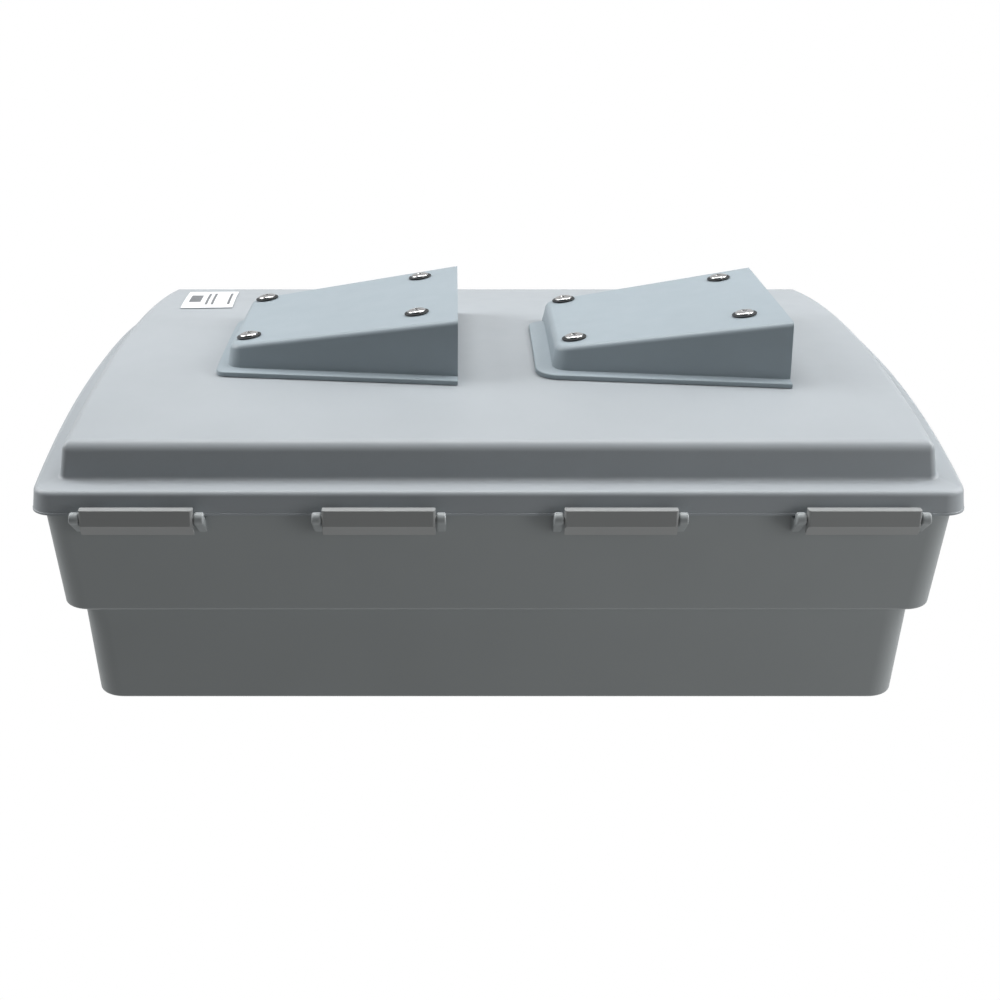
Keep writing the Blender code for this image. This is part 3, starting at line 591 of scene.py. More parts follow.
def make_tub():
    bm = bmesh.new()
    rings = [tub_ring(inset, lambda y, z=z: z, *rest) for inset, z, *rest in tub_profile()]
    rings.append(tub_ring(RIM_INSET, above(arch, TUB_RIM), SKIRT_RADIUS))
    cap(bm, skin(bm, rings)[0])
    tub = softened(thickened(made_from("base_tub", bm), TUB_WALL), RIM_ROUND)

    ears, bores = [], []
    for latch in LATCHES:
        x, *pivot = AXIS_OF[f"{latch}_hinge"]
        for span in ear_spans(x, LATCH_HALF):
            ears.append(extruded("ear", ear_outline(pivot, -1), *span, EAR_ROUND))
        face = LATCH_HALF + EAR_GAP
        for side in (-1, 1):
            start = (x + side * (face - CUT_MARGIN), *pivot)
            end = (x + side * (face + SOCKET_DEPTH), *pivot)
            bores.append(rod_between("socket", start, end, SOCKET_RADIUS))
    for x in hinge_centres():
        for span in ear_spans(x, KNUCKLE_HALF):
            ears.append(extruded("ear", ear_outline(HINGE_AXIS, 1), *span, EAR_ROUND))
        reach = KNUCKLE_HALF + EAR_GAP + EAR_WIDTH + CUT_MARGIN
        bores.append(rod_between("bore", (x - reach, *HINGE_AXIS), (x + reach, *HINGE_AXIS), PIN_BORE))
    tub = combined(tub, ears, "UNION")
    tub = combined(tub, bores, "DIFFERENCE")
    shown(tub, "base_tub")


def make_seal():
    """The rubber strip between the tub's rim and the lid, with rounded corners all along."""
    inner = SEAL_INSET + SEAL_WIDTH
    corners = (
        (inner - SEAL_ROUND, SEAL_LOW.z + SEAL_ROUND, 270),
        (inner - SEAL_ROUND, SEAL_LOW.z + SEAL_THICK - SEAL_ROUND, 0),
        (SEAL_INSET + SEAL_ROUND, SEAL_LOW.z + SEAL_THICK - SEAL_ROUND, 90),
        (SEAL_INSET + SEAL_ROUND, SEAL_LOW.z + SEAL_ROUND, 180),
    )
    profile = []
    for inset, z, start in corners:
        profile += arc((inset, z), SEAL_ROUND, start, start + 90, SMALL_FILLET_STEPS)
    rings = [tub_ring(inset, above(arch, z), SKIRT_RADIUS - inset / 2) for inset, z in profile]
    bm = bmesh.new()
    skin(bm, rings + rings[:1])
    shown(made_from("rim_seal", bm), "rim_seal")


# The lid


def knuckle_outline():
    """The hinge leaf moulded on the lid's rear skirt, in (y, z)."""
    root = LID_HALF_Y - LEAF_ROOT
    around = arc(HINGE_AXIS, KNUCKLE_RADIUS, *KNUCKLE_SWEEP, KNOB_STEPS)
    top = [(root, LEAF_TOP), (LID_HALF_Y + LEAF_THICK, LEAF_TOP)]
    return top + around + [(root, SKIRT_BOTTOM + LEAF_RISE)]


def entry_cutter(x, y):
    """The rounded hole through the lid under a hood."""
    low, high = ENTRY_X
    middle, half = (low + high) / 2, (high - low) / 2
    outline = rounded_ring(half, ENTRY_HALF_Y, ENTRY_RADIUS, sides=1, across=1)
    bm = bmesh.new()
    heights = [DOME_TOP + rise for rise in ENTRY_CUT]
    rings = skin(bm, [[(x + middle + px, y + py, z) for px, py in outline] for z in heights])
    bm.faces.new(rings[0])
    bm.faces.new(rings[1])
    return made_from("entry", bm)


def lid_profile():
    """The lid's rings, from the skirt up and in: (inset, height function, corner radius, inset in y)."""
    bead = SKIRT_BOTTOM + BEAD_HEIGHT
    rings = [(0, lambda y: SKIRT_BOTTOM, SKIRT_RADIUS, 0), (0, lambda y: bead, SKIRT_RADIUS, 0)]
    rings.append((BEAD, lambda y: bead + BEAD, SKIRT_RADIUS - BEAD, 0))
    for inset, rise in arc((SKIRT_DRAFT + SKIRT_FILLET, -SKIRT_FILLET), SKIRT_FILLET, 180, 90):
        rings.append((inset, above(ledge_height, rise), SKIRT_RADIUS - inset, 0))
    for inset, rise in arc((DOME_INSET - DOME_FOOT, DOME_FOOT), DOME_FOOT, -90, 0):
        radius = DOME_RADIUS + DOME_INSET - inset
        rings.append((inset, above(ledge_height, rise), radius, DOME_INSET_Y))
    top = DOME_INSET + DOME_DRAFT
    for inset, rise in arc((top + DOME_FILLET, -DOME_FILLET), DOME_FILLET, 180, 90):
        rings.append((inset, above(dome_height, rise), DOME_RADIUS - inset + top, DOME_INSET_Y))
    return rings


def make_lid():
    bm = bmesh.new()
    rings = skin(bm, [lid_ring(*ring) for ring in lid_profile()])
    cap(bm, rings[-1])
    lid = softened(thickened(made_from("lid", bm), LID_WALL))

    added, cuts = [], []
    for latch in LATCHES:
        x, _, z = AXIS_OF[f"{latch}_hinge"]
        low = (x - CATCH_HALF, -LID_HALF_Y - CATCH_REACH, z + CATCH_RISE)
        high = (x + CATCH_HALF, -LID_HALF_Y + CATCH_ROOT, z + CATCH_RISE + CATCH_THICK)
        added.append(softened(box_between("catch", low, high)))
    for x in hinge_centres():
        added.append(extruded("knuckle", knuckle_outline(), x - KNUCKLE_HALF, x + KNUCKLE_HALF, EDGE_ROUND))
        reach = KNUCKLE_HALF + CUT_MARGIN
        cuts.append(rod_between("bore", (x - reach, *HINGE_AXIS), (x + reach, *HINGE_AXIS), PIN_BORE))
    cuts += [entry_cutter(*hood_middle(side)) for side in SIDES]
    lid = combined(lid, added, "UNION")
    lid = combined(lid, cuts, "DIFFERENCE")
    shown(lid, "lid")


def make_hinge_pin(side):
    """A headed pin along X, with a rounded head and a chamfered tip."""
    low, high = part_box(f"hinge_pin_{side}")
    profile = [(radius, high.x - depth) for radius, depth in PIN_CROWN]
    profile += [(PIN_HEAD_RADIUS, high.x - PIN_HEAD), (PIN_RADIUS, high.x - PIN_HEAD)]
    profile += [(PIN_RADIUS, low.x + PIN_CHAMFER), (PIN_RADIUS - PIN_CHAMFER, low.x), (0, low.x)]
    along = Matrix.Translation((0, *HINGE_AXIS)) @ Matrix.Rotation(math.radians(90), 4, "Y")
    shown(turned("hinge_pin", profile, along), f"hinge_pin_{side}")


# The hoods


def hood_path(left, right, half_left, half_right, corner):
    """A hood's plan outline: in along the front, round the closed end and out along the back, in (x, y)."""
    lean = math.degrees(math.atan2(half_right - half_left, right - left))
    front = arc((left + corner, -half_left + corner), corner, 270 - lean, 180, CORNER_STEPS)
    start = front[0]
    xs, ys = between(right, start[0], HOOD_STEPS), between(-half_right, start[1], HOOD_STEPS)
    half = [(right, -half_right), *zip(xs, ys), *front]
    reach = half_left - corner
    middle = [(left, y) for y in between(-reach, reach, HOOD_STEPS)]
    return half + middle + [(x, -y) for x, y in reversed(half)]


def hood_row(middle, grow_end, grow_side, corner, height):
    """One row of a hood's skin; height is a function of x from the hood's middle, and of y."""
    path = hood_path(
        HOOD_LEFT - grow_end,
        HOOD_RIGHT,
        HOOD_HALF_LEFT + grow_side,
        HOOD_HALF_RIGHT + grow_side,
        corner,
    )
    return [(middle[0] + x, middle[1] + y, height(x, middle[1] + y)) for x, y in path]


def strip_cap(bm, row):
    """Fills across an open, mirrored row of vertices with strips."""
    half = len(row) // 2
    near, far = row[:half], row[: -half - 1 : -1]
    grid(bm, [near, far])
    if len(row) % 2:
        bm.faces.new((near[-1], row[half], far[-1]))


def make_flange(side):
    """The lip along a hood's front and closed end. Its top edge is round, and it runs out into the wall."""
    middle, end, edge = hood_middle(side), FLANGE_ENDS[side], FLANGE_ROUND
    root = HOOD_DRAFT - HOOD_WALL / 2
    inner = hood_row(middle, root, root, HOOD_CORNER, lambda x, y: 0)
    grown = (HOOD_DRAFT + end, HOOD_DRAFT + FLANGE_SIDE)
    outer = hood_row(middle, *grown, FLANGE_CORNERS[side], lambda x, y: 0)
    stop = middle[1] + FLANGE_STOP - FLANGE_RUNOUT
    pairs = [pair for pair in zip(outer, inner) if max(pair[0][1], pair[1][1]) < stop]
    x_inner, x_wall = pairs[-1][1][0], middle[0] + HOOD_LEFT - HOOD_DRAFT
    for across, along in arc((0, stop), FLANGE_RUNOUT, 0, 90, 2 * FILLET_STEPS):
        x_outer = x_wall - end * across / FLANGE_RUNOUT
        pairs.append(((x_outer, along), (x_inner, along)))
    pairs[0] = tuple((point[0] - FLANGE_SETBACK, point[1]) for point in pairs[0])
    rounding = arc((0, 0), edge, 0, 90, 5)
    sections = []
    for out, back in pairs:
        out, back = Vector(out[:2]), Vector(back[:2])
        inwards = (back - out).normalized()
        corners = [(out, 0.0), (out, HOOD_WALL - edge)]
        corners += [(out + inwards * (edge - a), HOOD_WALL - edge + b) for a, b in rounding]
        corners += [(back, HOOD_WALL), (back, 0.0)]
        sections.append([(p.x, p.y, dome_height(p.y) + GAP + rise) for p, rise in corners])
    bm = bmesh.new()
    rings = skin(bm, sections)
    bm.faces.new(rings[0])
    bm.faces.new(rings[-1])
    return made_from("flange", bm)


def make_hood(side):
    """A hood as a closed shell, its inside and its outside joined round the open mouth, with its flange."""
    middle = hood_middle(side)

    def foot(x, y):
        return dome_height(y) + HOOD_LIFT

    def top(drop):
        return lambda x, y: hood_top(x) - drop

    wall = HOOD_WALL
    step, fall = HOOD_SHOULDER
    inside = [
        (-HOOD_FILLET, -HOOD_FILLET, HOOD_CORNER - HOOD_FILLET, top(wall)),
        (-wall - step, -wall - step, HOOD_CORNER - wall, top(wall + fall)),
        (HOOD_DRAFT - wall, HOOD_DRAFT - wall, HOOD_CORNER - wall, foot),
    ]
    outside = [(HOOD_DRAFT, HOOD_DRAFT, HOOD_CORNER, foot)]
    for inset, drop in arc((HOOD_FILLET, HOOD_FILLET), HOOD_FILLET, 180, 270):
        outside.append((-inset, -inset, HOOD_CORNER - inset, top(drop)))
    bm = bmesh.new()
    rows = skin(bm, [hood_row(middle, *row) for row in inside + outside], closed=False)
    strip_cap(bm, rows[0])
    strip_cap(bm, rows[-1])
    bm.faces.new([row[0] for row in rows] + [row[-1] for row in reversed(rows)])
    hood = combined(made_from("hood", bm), [make_flange(side)], "UNION")
    shown(combined(hood, screw_bores(side), "DIFFERENCE"), f"hood_{side}")


def screw_places(side):
    """Where each screw's head meets the hood's sloping top, as matrices whose Z is the screw's axis."""
    middle = hood_middle(side)
    tilt = Matrix.Rotation(-math.atan(HOOD_SLOPE), 4, "Y")
    shift_x, shift_y = SCREW_SHIFTS[side]
    for side_y in (-1, 1):
        for side_x in (-1, 1):
            x = side_x * SCREW_SPACING[0] / 2 + shift_x
            y = side_y * SCREW_SPACING[1] / 2 + shift_y
            yield Matrix.Translation((middle[0] + x, middle[1] + y, hood_top(x))) @ tilt


def screw_bores(side):
    ends = (Vector((0, 0, -SCREW_LENGTH)), Vector((0, 0, SCREW_LENGTH)))
    return [
        rod_between("bore", *(matrix @ end for end in ends), SCREW_BORE) for matrix in screw_places(side)
    ]


def make_rail(side, place):
    """A wedge under a hood's side that the screws bite into. Its foot follows the dome."""
    node = f"rail_{side}_{place}"
    ends = [x + SCREW_SHIFTS[side][0] for x in RAIL_X]
    centre_x, _ = hood_middle(side)
    low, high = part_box(node)
    bm = bmesh.new()
    rows = []
    for y in (low.y, high.y):
        rows.append([(centre_x + x, y, dome_height(y) + GAP) for x in ends])
        rows[-1] += [(centre_x + x, y, hood_top(x) - HOOD_WALL - 2 * GAP) for x in reversed(ends)]
    for row in skin(bm, rows):
        bm.faces.new(row)
    rail = softened(made_from("rail", bm), RAIL_ROUND)
    shown(combined(rail, screw_bores(side), "DIFFERENCE"), node)


def cross_cutter(top):
    """The tapered cross of a screw's driver recess, as its two blades."""
    blades = []
    for turn in (0, 90):
        bm = bmesh.new()
        bmesh.ops.create_cube(bm, size=1.0)
        for vert in bm.verts:
            share = 1.0 if vert.co.z > 0 else CROSS_TAPER
            z = top + CUT_MARGIN / 2 if vert.co.z > 0 else top - CROSS_DEPTH
            vert.co = (vert.co.x * CROSS_LENGTH * share, vert.co.y * CROSS_WIDTH * (0.5 + share / 2), z)
        spin = Matrix.Rotation(math.radians(turn + CROSS_TURN), 3, "Z")
        bmesh.ops.rotate(bm, verts=bm.verts, matrix=spin)
        blades.append(made_from("blade", bm))
    return blades


def make_screw(node, matrix):
    """A pan-head screw with a domed head, a driver recess and a threaded shank."""
    under = WASHER + 2 * GAP
    top = under + SCREW_HEAD
    profile = []
    for i in range(CROWN_STEPS + 1):
        angle = math.radians(90 * i / CROWN_STEPS)
        reach, rise = math.sin(angle) ** CROWN_POWER, math.cos(angle) ** CROWN_POWER
        profile.append((SCREW_HEAD_RADIUS * reach, under + SCREW_HEAD * rise))
    profile.append((SCREW_RADIUS, under))
    root = SCREW_RADIUS - THREAD_DEPTH
    for i in range(int((SCREW_LENGTH - SCREW_TIP) / THREAD_PITCH)):
        z = under - THREAD_START - i * THREAD_PITCH
        profile += [(root, z), (SCREW_RADIUS, z - THREAD_PITCH / 2)]
    profile += [(root, under - SCREW_LENGTH), (0, under - SCREW_LENGTH - SCREW_TIP)]
    screw = turned("screw", profile, Matrix.Identity(4))
    for blade in cross_cutter(top):
        screw = combined(screw, [blade], "DIFFERENCE")
    screw.data.transform(matrix)
    shown(screw, node)


def make_washer(node, matrix):
    """A flat rubber ring with rounded rims."""
    low, high, edge = GAP, GAP + WASHER, WASHER_ROUND
    profile = [(SCREW_BORE, low), (SCREW_BORE, high - edge), (SCREW_BORE + edge, high)]
    profile += arc((WASHER_RADIUS - edge, high - edge), edge, 90, 0, SMALL_FILLET_STEPS)
    profile += arc((WASHER_RADIUS - edge, low + edge), edge, 0, -90, SMALL_FILLET_STEPS)
    shown(turned("washer", profile + profile[:1], matrix), node)


# The latches


def latch_outlines(pivot):
    """The latch's bent plate, and the web that closes each of its ends, in (y, z)."""
    front, top, wall, bend = LATCH_FRONT, LATCH_TOP, LATCH_WALL, LATCH_BEND
    lip_end, tail = front + LATCH_LIP, front + LATCH_TUCK
    rounding, (tail_in, tail_up) = LATCH_TOP_ROUND, LATCH_TAIL
    corner = arc((front + rounding, top - rounding), rounding, 90, 180, SMALL_FILLET_STEPS)
    outer = [(lip_end, top), *corner]
    outer += [(front, bend + CREASE), (front + CREASE, bend), (tail, LATCH_BOTTOM)]
    inner = [
        (tail + tail_in, LATCH_BOTTOM + tail_up),
        (front + wall, bend + LATCH_BEND_RISE),
        (front + wall, top - wall),
        (lip_end, top - wall),
    ]
    hub = arc(pivot, LATCH_HUB, *LATCH_HUB_SWEEP, CORNER_STEPS)
    return outer + inner, outer + inner[:1] + hub + inner[-1:]


def end_rounders(x):
    """Tools that round the upright front corners of a latch's two ends."""
    corner = LATCH_CORNER
    rounding = arc((0, 0), corner + ROUNDER_SLACK, *ROUNDER_SWEEP)
    heights = (LATCH_BOTTOM - ROUNDER_REACH, LATCH_TOP + ROUNDER_REACH)
    tools = []
    for side in (-1, 1):
        centre = (x + side * (LATCH_HALF - corner), LATCH_FRONT + corner)
        plan = [(centre[0] + side * px, centre[1] + py) for px, py in rounding]
        beyond_x, beyond_y = plan[-1][0] + side * corner, plan[0][1] - corner
        plan += [(beyond_x, plan[-1][1]), (beyond_x, beyond_y), (plan[0][0], beyond_y)]
        bm = bmesh.new()
        rings = skin(bm, [[(px, py, z) for px, py in plan] for z in heights])
        bm.faces.new(rings[0])
        bm.faces.new(rings[1])
        tools.append(made_from("rounder", bm))
    return tools


def make_latch(node):
    x, *pivot = AXIS_OF[f"{node}_hinge"]
    plate, web = latch_outlines(pivot)
    latch = extruded("latch", plate, x - LATCH_HALF, x + LATCH_HALF, LATCH_ROUND)
    webs, trunnions = [], []
    for side in (-1, 1):
        ends = sorted(x + side * (LATCH_HALF - inset) for inset in (WEB_SETBACK, LATCH_WEB))
        webs.append(extruded("web", web, *ends, LATCH_ROUND))
        root = (x + side * (LATCH_HALF - TRUNNION_ROOT), *pivot)
        tip = (x + side * (LATCH_HALF + TRUNNION_LENGTH), *pivot)
        trunnion = rod_between("trunnion", root, tip, TRUNNION_RADIUS)
        trunnions.append(softened(trunnion, TRUNNION_ROUND))
    latch = combined(latch, webs, "UNION")
    latch = combined(latch, end_rounders(x), "DIFFERENCE")
    latch = combined(latch, trunnions, "UNION")
    shown(latch, node)


# Inside the tub


def make_tray(node):
    """A thin tray with a softened rim and two posts that hold the bait rods."""
    low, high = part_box(node)
    half_x, half_y = (high.x - low.x) / 2, (high.y - low.y) / 2
    x = (high.x + low.x) / 2

    def level(inset, z):
        outline = rounded_ring(half_x - inset, half_y - inset, TRAY_RADIUS - inset, sides=6, across=4)
        return [(x + px, py, z) for px, py in outline]

    bm = bmesh.new()
    slope = TRAY_SPREAD / (high.z - low.z)
    fillet = arc((TRAY_FILLET, TRAY_FILLET), TRAY_FILLET, 270, 180, TRAY_STEPS)
    profile = [(TRAY_SPREAD + inset, low.z + z) for inset, z in fillet]
    bands = (low.z + TRAY_BANDS[0], high.z - TRAY_BANDS[1])
    profile += [(slope * (high.z - z), z) for z in bands]
    profile.append((0, high.z))
    rings = skin(bm, [level(*point) for point in profile])
    cap(bm, rings[0], across=4)
    tray = softened(thickened(made_from("tray", bm), TRAY_WALL), TRAY_ROUND)
    posts, bores = [], []
    base = low.z + TRAY_WALL
    for place in ("front", "back"):
        y = rod_place(node, place).y
        foot, top = (x, y, base - SOCKET_ROOT), (x, y, base + SOCKET_HEIGHT)
        posts.append(softened(rod_between("post", foot, top, SOCKET_OUTER), SOCKET_ROUND))
        ends = ((x, y, base + SOCKET_FLOOR), (x, y, base + SOCKET_HEIGHT + CUT_MARGIN))
        bores.append(rod_between("bore", *ends, ROD_RADIUS + ROD_CLEARANCE))
    tray = combined(tray, posts, "UNION")
    shown(combined(tray, bores, "DIFFERENCE"), node)


def rod_name(tray, place):
    return f"{tray.replace('tray', 'rod')}_{place}"


def rod_place(tray, place):
    """The foot of the bait rod that stands at this place in a tray."""
    low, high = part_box(rod_name(tray, place))
    return Vector((low.x + ROD_RADIUS, (low.y + high.y) / 2, low.z))


def make_rod(tray, place):
    """A bait rod: a wire that stands in its post and hooks over at the top."""
    node = rod_name(tray, place)
    foot, high = rod_place(tray, place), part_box(node)[1]
    top = high.z - ROD_RADIUS
    turn = arc((foot.x + ROD_BEND, top - ROD_BEND), ROD_BEND, 180, 90, CORNER_STEPS)
    curve = bpy.data.curves.new(node, "CURVE")
    curve.dimensions = "3D"
    curve.bevel_depth = ROD_RADIUS
    curve.bevel_resolution = 6
    curve.use_fill_caps = True
    spline = curve.splines.new("POLY")
    points = [(foot.x, foot.z), *turn, (high.x, top)]
    spline.points.add(len(points) - 1)
    for point, (x, z) in zip(spline.points, points):
        point.co = (x, foot.y, z, 1)
    rod = bpy.data.objects.new(node, curve)
    bpy.context.scene.collection.objects.link(rod)
    shown(softened(settled(rod), ROD_ROUND), node)


def make_panel(side):
    """A grooved climbing panel with a foot, standing below the closed end of an entry."""
    node = f"climb_panel_{side}"
    low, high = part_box(node)
    face = low.x + PANEL_THICK
    outline = [(low.x, low.z), (low.x, high.z), (face, high.z)]
    count = int((high.z - low.z - (high.x - face)) / GROOVE_PITCH)
    for i in range(count):
        z = high.z - (i + 0.5) * GROOVE_PITCH
        back = face - GROOVE_DEPTH
        end = z - GROOVE_WIDTH
        outline += [(face, z), (back, z - GROOVE_SLOPE), (back, end + GROOVE_SLOPE), (face, end)]
    outline += [(face, low.z + PANEL_THICK), (high.x, low.z + PANEL_THICK), (high.x, low.z)]
    half = (high.y - low.y) / 2
    panel = extruded("panel", outline, -half, half, PANEL_ROUND)
    # extruded() runs the outline's first axis along Y and its width along X, so it is turned about Z.
    turn = Matrix.Rotation(math.radians(-90), 4, "Z")
    panel.data.transform(Matrix.Translation((0, (low.y + high.y) / 2, 0)) @ turn)
    shown(panel, node)


def label_marks(across, along):
    """Whether a spot on the label is printed, given as shares of its width and of its length."""

    def inside(share, span):
        return span[0] < share < span[1]

    block = inside(across, LABEL_BLOCK[0]) and inside(along, LABEL_BLOCK[1])
    return block or inside(along, LABEL_BAR_RUN) and any(inside(across, bar) for bar in LABEL_BARS)


def make_label():
    """A thin printed film that follows the lid, laid on at a slight angle."""
    across, along = LABEL_STEPS
    turn = Matrix.Rotation(LABEL_TURN, 2)
    bm = bmesh.new()
    rows = []
    for i in range(along + 1):
        row = []
        for j in range(across + 1):
            flat = Vector((LABEL_WIDTH * (j / across - 0.5), LABEL_LENGTH * (i / along - 0.5)))
            x, y = turn @ flat + LABEL_MIDDLE
            row.append((x, y, dome_height(y) + GAP + LABEL_THICK))
        rows.append(row)
    skin(bm, rows, closed=False)
    label = thickened(made_from("label", bm), LABEL_THICK)
    shown(label, "label")
    label.data.materials.append(FINISH["label_ink"])
    for face in label.data.polygons:
        flat = turn.inverted() @ (face.center.xy - LABEL_MIDDLE)
        if face.normal.z > 0.5 and label_marks(flat.x / LABEL_WIDTH + 0.5, flat.y / LABEL_LENGTH + 0.5):
            face.material_index = 1


# Finishes

NOISE_MIDDLE = (0.3, 0.7)  # most of a noise's values lie between these


def new_finish(name):
    """A new material with its nodes and its shader."""
    made = bpy.data.materials.new(name)
    made.use_nodes = True
    return made, made.node_tree, made.node_tree.nodes["Principled BSDF"]


def noise(tree, scale, detail=3.0):
    """Noise in the piece's own coordinates, at this many features to the metre."""
    place = tree.nodes.new("ShaderNodeTexCoord")
    texture = tree.nodes.new("ShaderNodeTexNoise")
    texture.inputs["Scale"].default_value = scale
    texture.inputs["Detail"].default_value = detail
    tree.links.new(place.outputs["Object"], texture.inputs["Vector"])
    return texture.outputs["Fac"]


def ranged(tree, value, low, high):
    """A noise's middle values, spread over low to high."""
    node = tree.nodes.new("ShaderNodeMapRange")
    node.inputs["From Min"].default_value, node.inputs["From Max"].default_value = NOISE_MIDDLE
    node.inputs["To Min"].default_value = low
    node.inputs["To Max"].default_value = high
    tree.links.new(value, node.inputs["Value"])
    return node.outputs["Result"]


def mottled(tree, shader, colour, change, scale):
    """A base colour that drifts a little lighter and darker over the surface."""
    mix = tree.nodes.new("ShaderNodeMix")
    mix.data_type = "RGBA"
    mix.inputs["A"].default_value = (*(c * (1 - change) for c in colour), 1)
    mix.inputs["B"].default_value = (*(c * (1 + change) for c in colour), 1)
    tree.links.new(ranged(tree, noise(tree, scale), 0, 1), mix.inputs["Factor"])
    tree.links.new(mix.outputs["Result"], shader.inputs["Base Color"])


def bumped(tree, shader, layers):
    """Surface relief from layers of noise, each a (features to the metre, height in metres) pair."""
    normal = None
    for scale, height in layers:
        bump = tree.nodes.new("ShaderNodeBump")
        bump.inputs["Strength"].default_value = 1.0
        bump.inputs["Distance"].default_value = height
        tree.links.new(noise(tree, scale, 2.0), bump.inputs["Height"])
        if normal:
            tree.links.new(normal, bump.inputs["Normal"])
        normal = bump.outputs["Normal"]
    tree.links.new(normal, shader.inputs["Normal"])


def moulded_plastic(name, colour, roughness=(0.40, 0.48), grain=0.012 * MM):
    """Satin moulded plastic: a fine grain, a slow unevenness and a colour that drifts slightly."""
    made, tree, shader = new_finish(name)
    mottled(tree, shader, colour, 0.025, 14)
    tree.links.new(ranged(tree, noise(tree, 60), *roughness), shader.inputs["Roughness"])
    bumped(tree, shader, [(12, 0.25 * MM), (1400, grain)])
    return made


def zinc_steel(name):
    """Bright plated steel with faint turning marks and dulled patches."""
    made, tree, shader = new_finish(name)
    mottled(tree, shader, (0.74, 0.74, 0.74), 0.10, 300)
    shader.inputs["Metallic"].default_value = 1.0
    tree.links.new(ranged(tree, noise(tree, 500), 0.12, 0.26), shader.inputs["Roughness"])
    bumped(tree, shader, [(900, 0.008 * MM)])
    return made


def rubber(name):
    made, tree, shader = new_finish(name)
    mottled(tree, shader, (0.018, 0.020, 0.022), 0.2, 120)
    tree.links.new(ranged(tree, noise(tree, 250), 0.55, 0.75), shader.inputs["Roughness"])
    bumped(tree, shader, [(1800, 0.02 * MM)])
    return made


def label_film(name):
    made, tree, shader = new_finish(name)
    mottled(tree, shader, (0.86, 0.88, 0.90), 0.015, 60)
    tree.links.new(ranged(tree, noise(tree, 150), 0.30, 0.42), shader.inputs["Roughness"])
    bumped(tree, shader, [(40, 0.08 * MM), (2500, 0.004 * MM)])
    return made


def label_ink(name):
    made, tree, shader = new_finish(name)
    mottled(tree, shader, (0.16, 0.17, 0.18), 0.3, 700)
    tree.links.new(ranged(tree, noise(tree, 150), 0.35, 0.5), shader.inputs["Roughness"])
    return made


def make_finishes():
    return {
        "tub_grey": moulded_plastic("tub_grey", (0.351, 0.377, 0.383)),
        "lid_grey": moulded_plastic("lid_grey", (0.377, 0.408, 0.432)),
        "hood_grey": moulded_plastic("hood_grey", (0.316, 0.372, 0.408)),
        "latch_grey": moulded_plastic("latch_grey", (0.309, 0.320, 0.320), (0.36, 0.44)),
        "tray_black": moulded_plastic("tray_black", (0.035, 0.036, 0.038), (0.38, 0.5), 0.02 * MM),
        "steel": zinc_steel("steel"),
        "black_rubber": rubber("black_rubber"),
        "label_white": label_film("label_white"),
        "label_ink": label_ink("label_ink"),
    }


# Studio


def make_camera():
    data = bpy.data.cameras.new("camera")
    data.lens = CAMERA_LENS
    data.sensor_width = CAMERA_SENSOR
    data.shift_x = CAMERA_SHIFT
    camera = bpy.data.objects.new("camera", data)
    camera.location = CAMERA_PLACE
    camera.rotation_euler = (CAMERA_TILT, 0, 0)
    bpy.context.scene.collection.objects.link(camera)
    bpy.context.scene.camera = camera


def make_floor():
    """A wide white sheet under the object. It only shows to the camera, so it doesn't wash out the sides."""
    bm = bmesh.new()
    bmesh.ops.create_grid(bm, size=FLOOR_HALF)
    floor = made_from("floor", bm)
    floor.location.z = -FLOOR_DROP
    made, tree, shader = new_finish("floor_white")
    glow = tree.nodes.new("ShaderNodeEmission")
    glow.inputs["Color"].default_value = (*WHITE, 1)
    glow.inputs["Strength"].default_value = 1.0
    tree.links.new(glow.outputs["Emission"], tree.nodes["Material Output"].inputs["Surface"])
    tree.nodes.remove(shader)
    floor.data.materials.append(made)
    floor.visible_diffuse = False
    floor.visible_glossy = False
    floor.visible_transmission = False
    floor.visible_shadow = False


def make_softbox(name, place, size, power):
    data = bpy.data.lights.new(name, "AREA")
    data.shape = "RECTANGLE"
    data.size, data.size_y = size
    data.energy = power
    light = bpy.data.objects.new(name, data)
    light.location = place
    aim = Vector((0, 0, DOME_TOP)) - Vector(place)
    light.rotation_euler = aim.to_track_quat("-Z", "Y").to_euler()
    light.visible_camera = False
    bpy.context.scene.collection.objects.link(light)


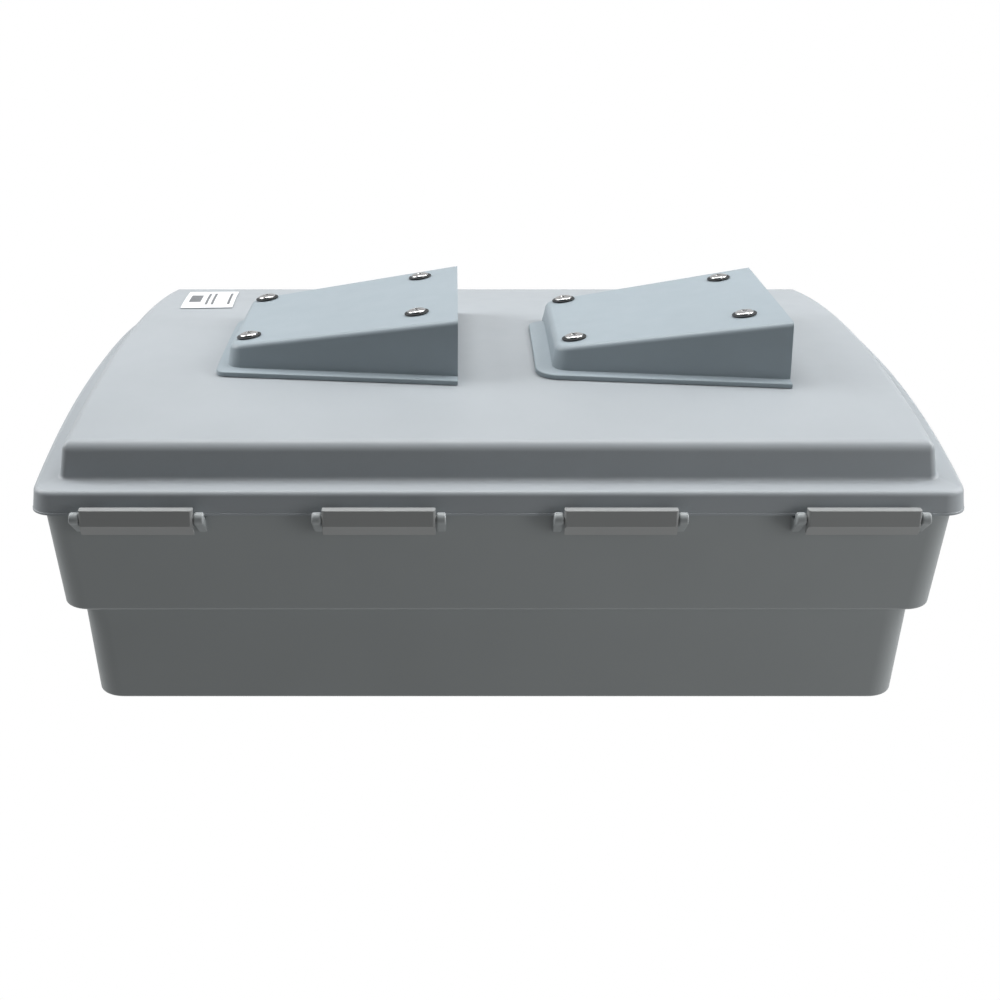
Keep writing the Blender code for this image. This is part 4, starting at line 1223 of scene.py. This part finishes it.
def lobe(tree, direction, axis, brightness, power):
    """Brightness that falls off away from an axis."""
    dot = tree.nodes.new("ShaderNodeVectorMath")
    dot.operation = "DOT_PRODUCT"
    dot.inputs[1].default_value = axis
    tree.links.new(direction, dot.inputs[0])
    value = dot.outputs["Value"]
    for operation, amount in (("MAXIMUM", 0.0), ("POWER", power), ("MULTIPLY", brightness)):
        node = tree.nodes.new("ShaderNodeMath")
        node.operation = operation
        node.inputs[1].default_value = amount
        tree.links.new(value, node.inputs[0])
        value = node.outputs["Value"]
    return value


def make_world():
    """Soft light that depends on its direction. The camera itself sees plain white."""
    world = bpy.data.worlds.new("studio")
    bpy.context.scene.world = world
    world.use_nodes = True
    tree = world.node_tree
    place = tree.nodes.new("ShaderNodeTexCoord")
    total = None
    for axis, brightness, power in LOBES.values():
        value = lobe(tree, place.outputs["Generated"], axis, brightness, power)
        if total:
            add = tree.nodes.new("ShaderNodeMath")
            tree.links.new(total, add.inputs[0])
            tree.links.new(value, add.inputs[1])
            value = add.outputs["Value"]
        total = value
    background = tree.nodes["Background"]
    tree.links.new(total, background.inputs["Strength"])
    seen = tree.nodes.new("ShaderNodeBackground")
    seen.inputs["Color"].default_value = (*WHITE, 1)
    background.inputs["Color"].default_value = (*WHITE, 1)
    path = tree.nodes.new("ShaderNodeLightPath")
    mix = tree.nodes.new("ShaderNodeMixShader")
    tree.links.new(path.outputs["Is Camera Ray"], mix.inputs["Fac"])
    tree.links.new(background.outputs["Background"], mix.inputs[1])
    tree.links.new(seen.outputs["Background"], mix.inputs[2])
    tree.links.new(mix.outputs["Shader"], tree.nodes["World Output"].inputs["Surface"])


FINISH = make_finishes()
make_camera()
make_floor()
make_world()
for softbox, (place, size, power) in SOFTBOXES.items():
    make_softbox(softbox, place, size, power)
bpy.context.scene.view_settings.view_transform = "Standard"

make_tub()
make_seal()
make_lid()
make_label()
for latch in LATCHES:
    make_latch(latch)
for side in SIDES:
    make_hinge_pin(side)
    make_hood(side)
    make_rail(side, "front")
    make_rail(side, "back")
    for number, matrix in enumerate(screw_places(side), 1):
        make_screw(f"screw_{side}_{number}", matrix)
        make_washer(f"washer_{side}_{number}", matrix)
    make_panel(side)
for tray in TRAYS:
    make_tray(tray)
    make_rod(tray, "front")
    make_rod(tray, "back")
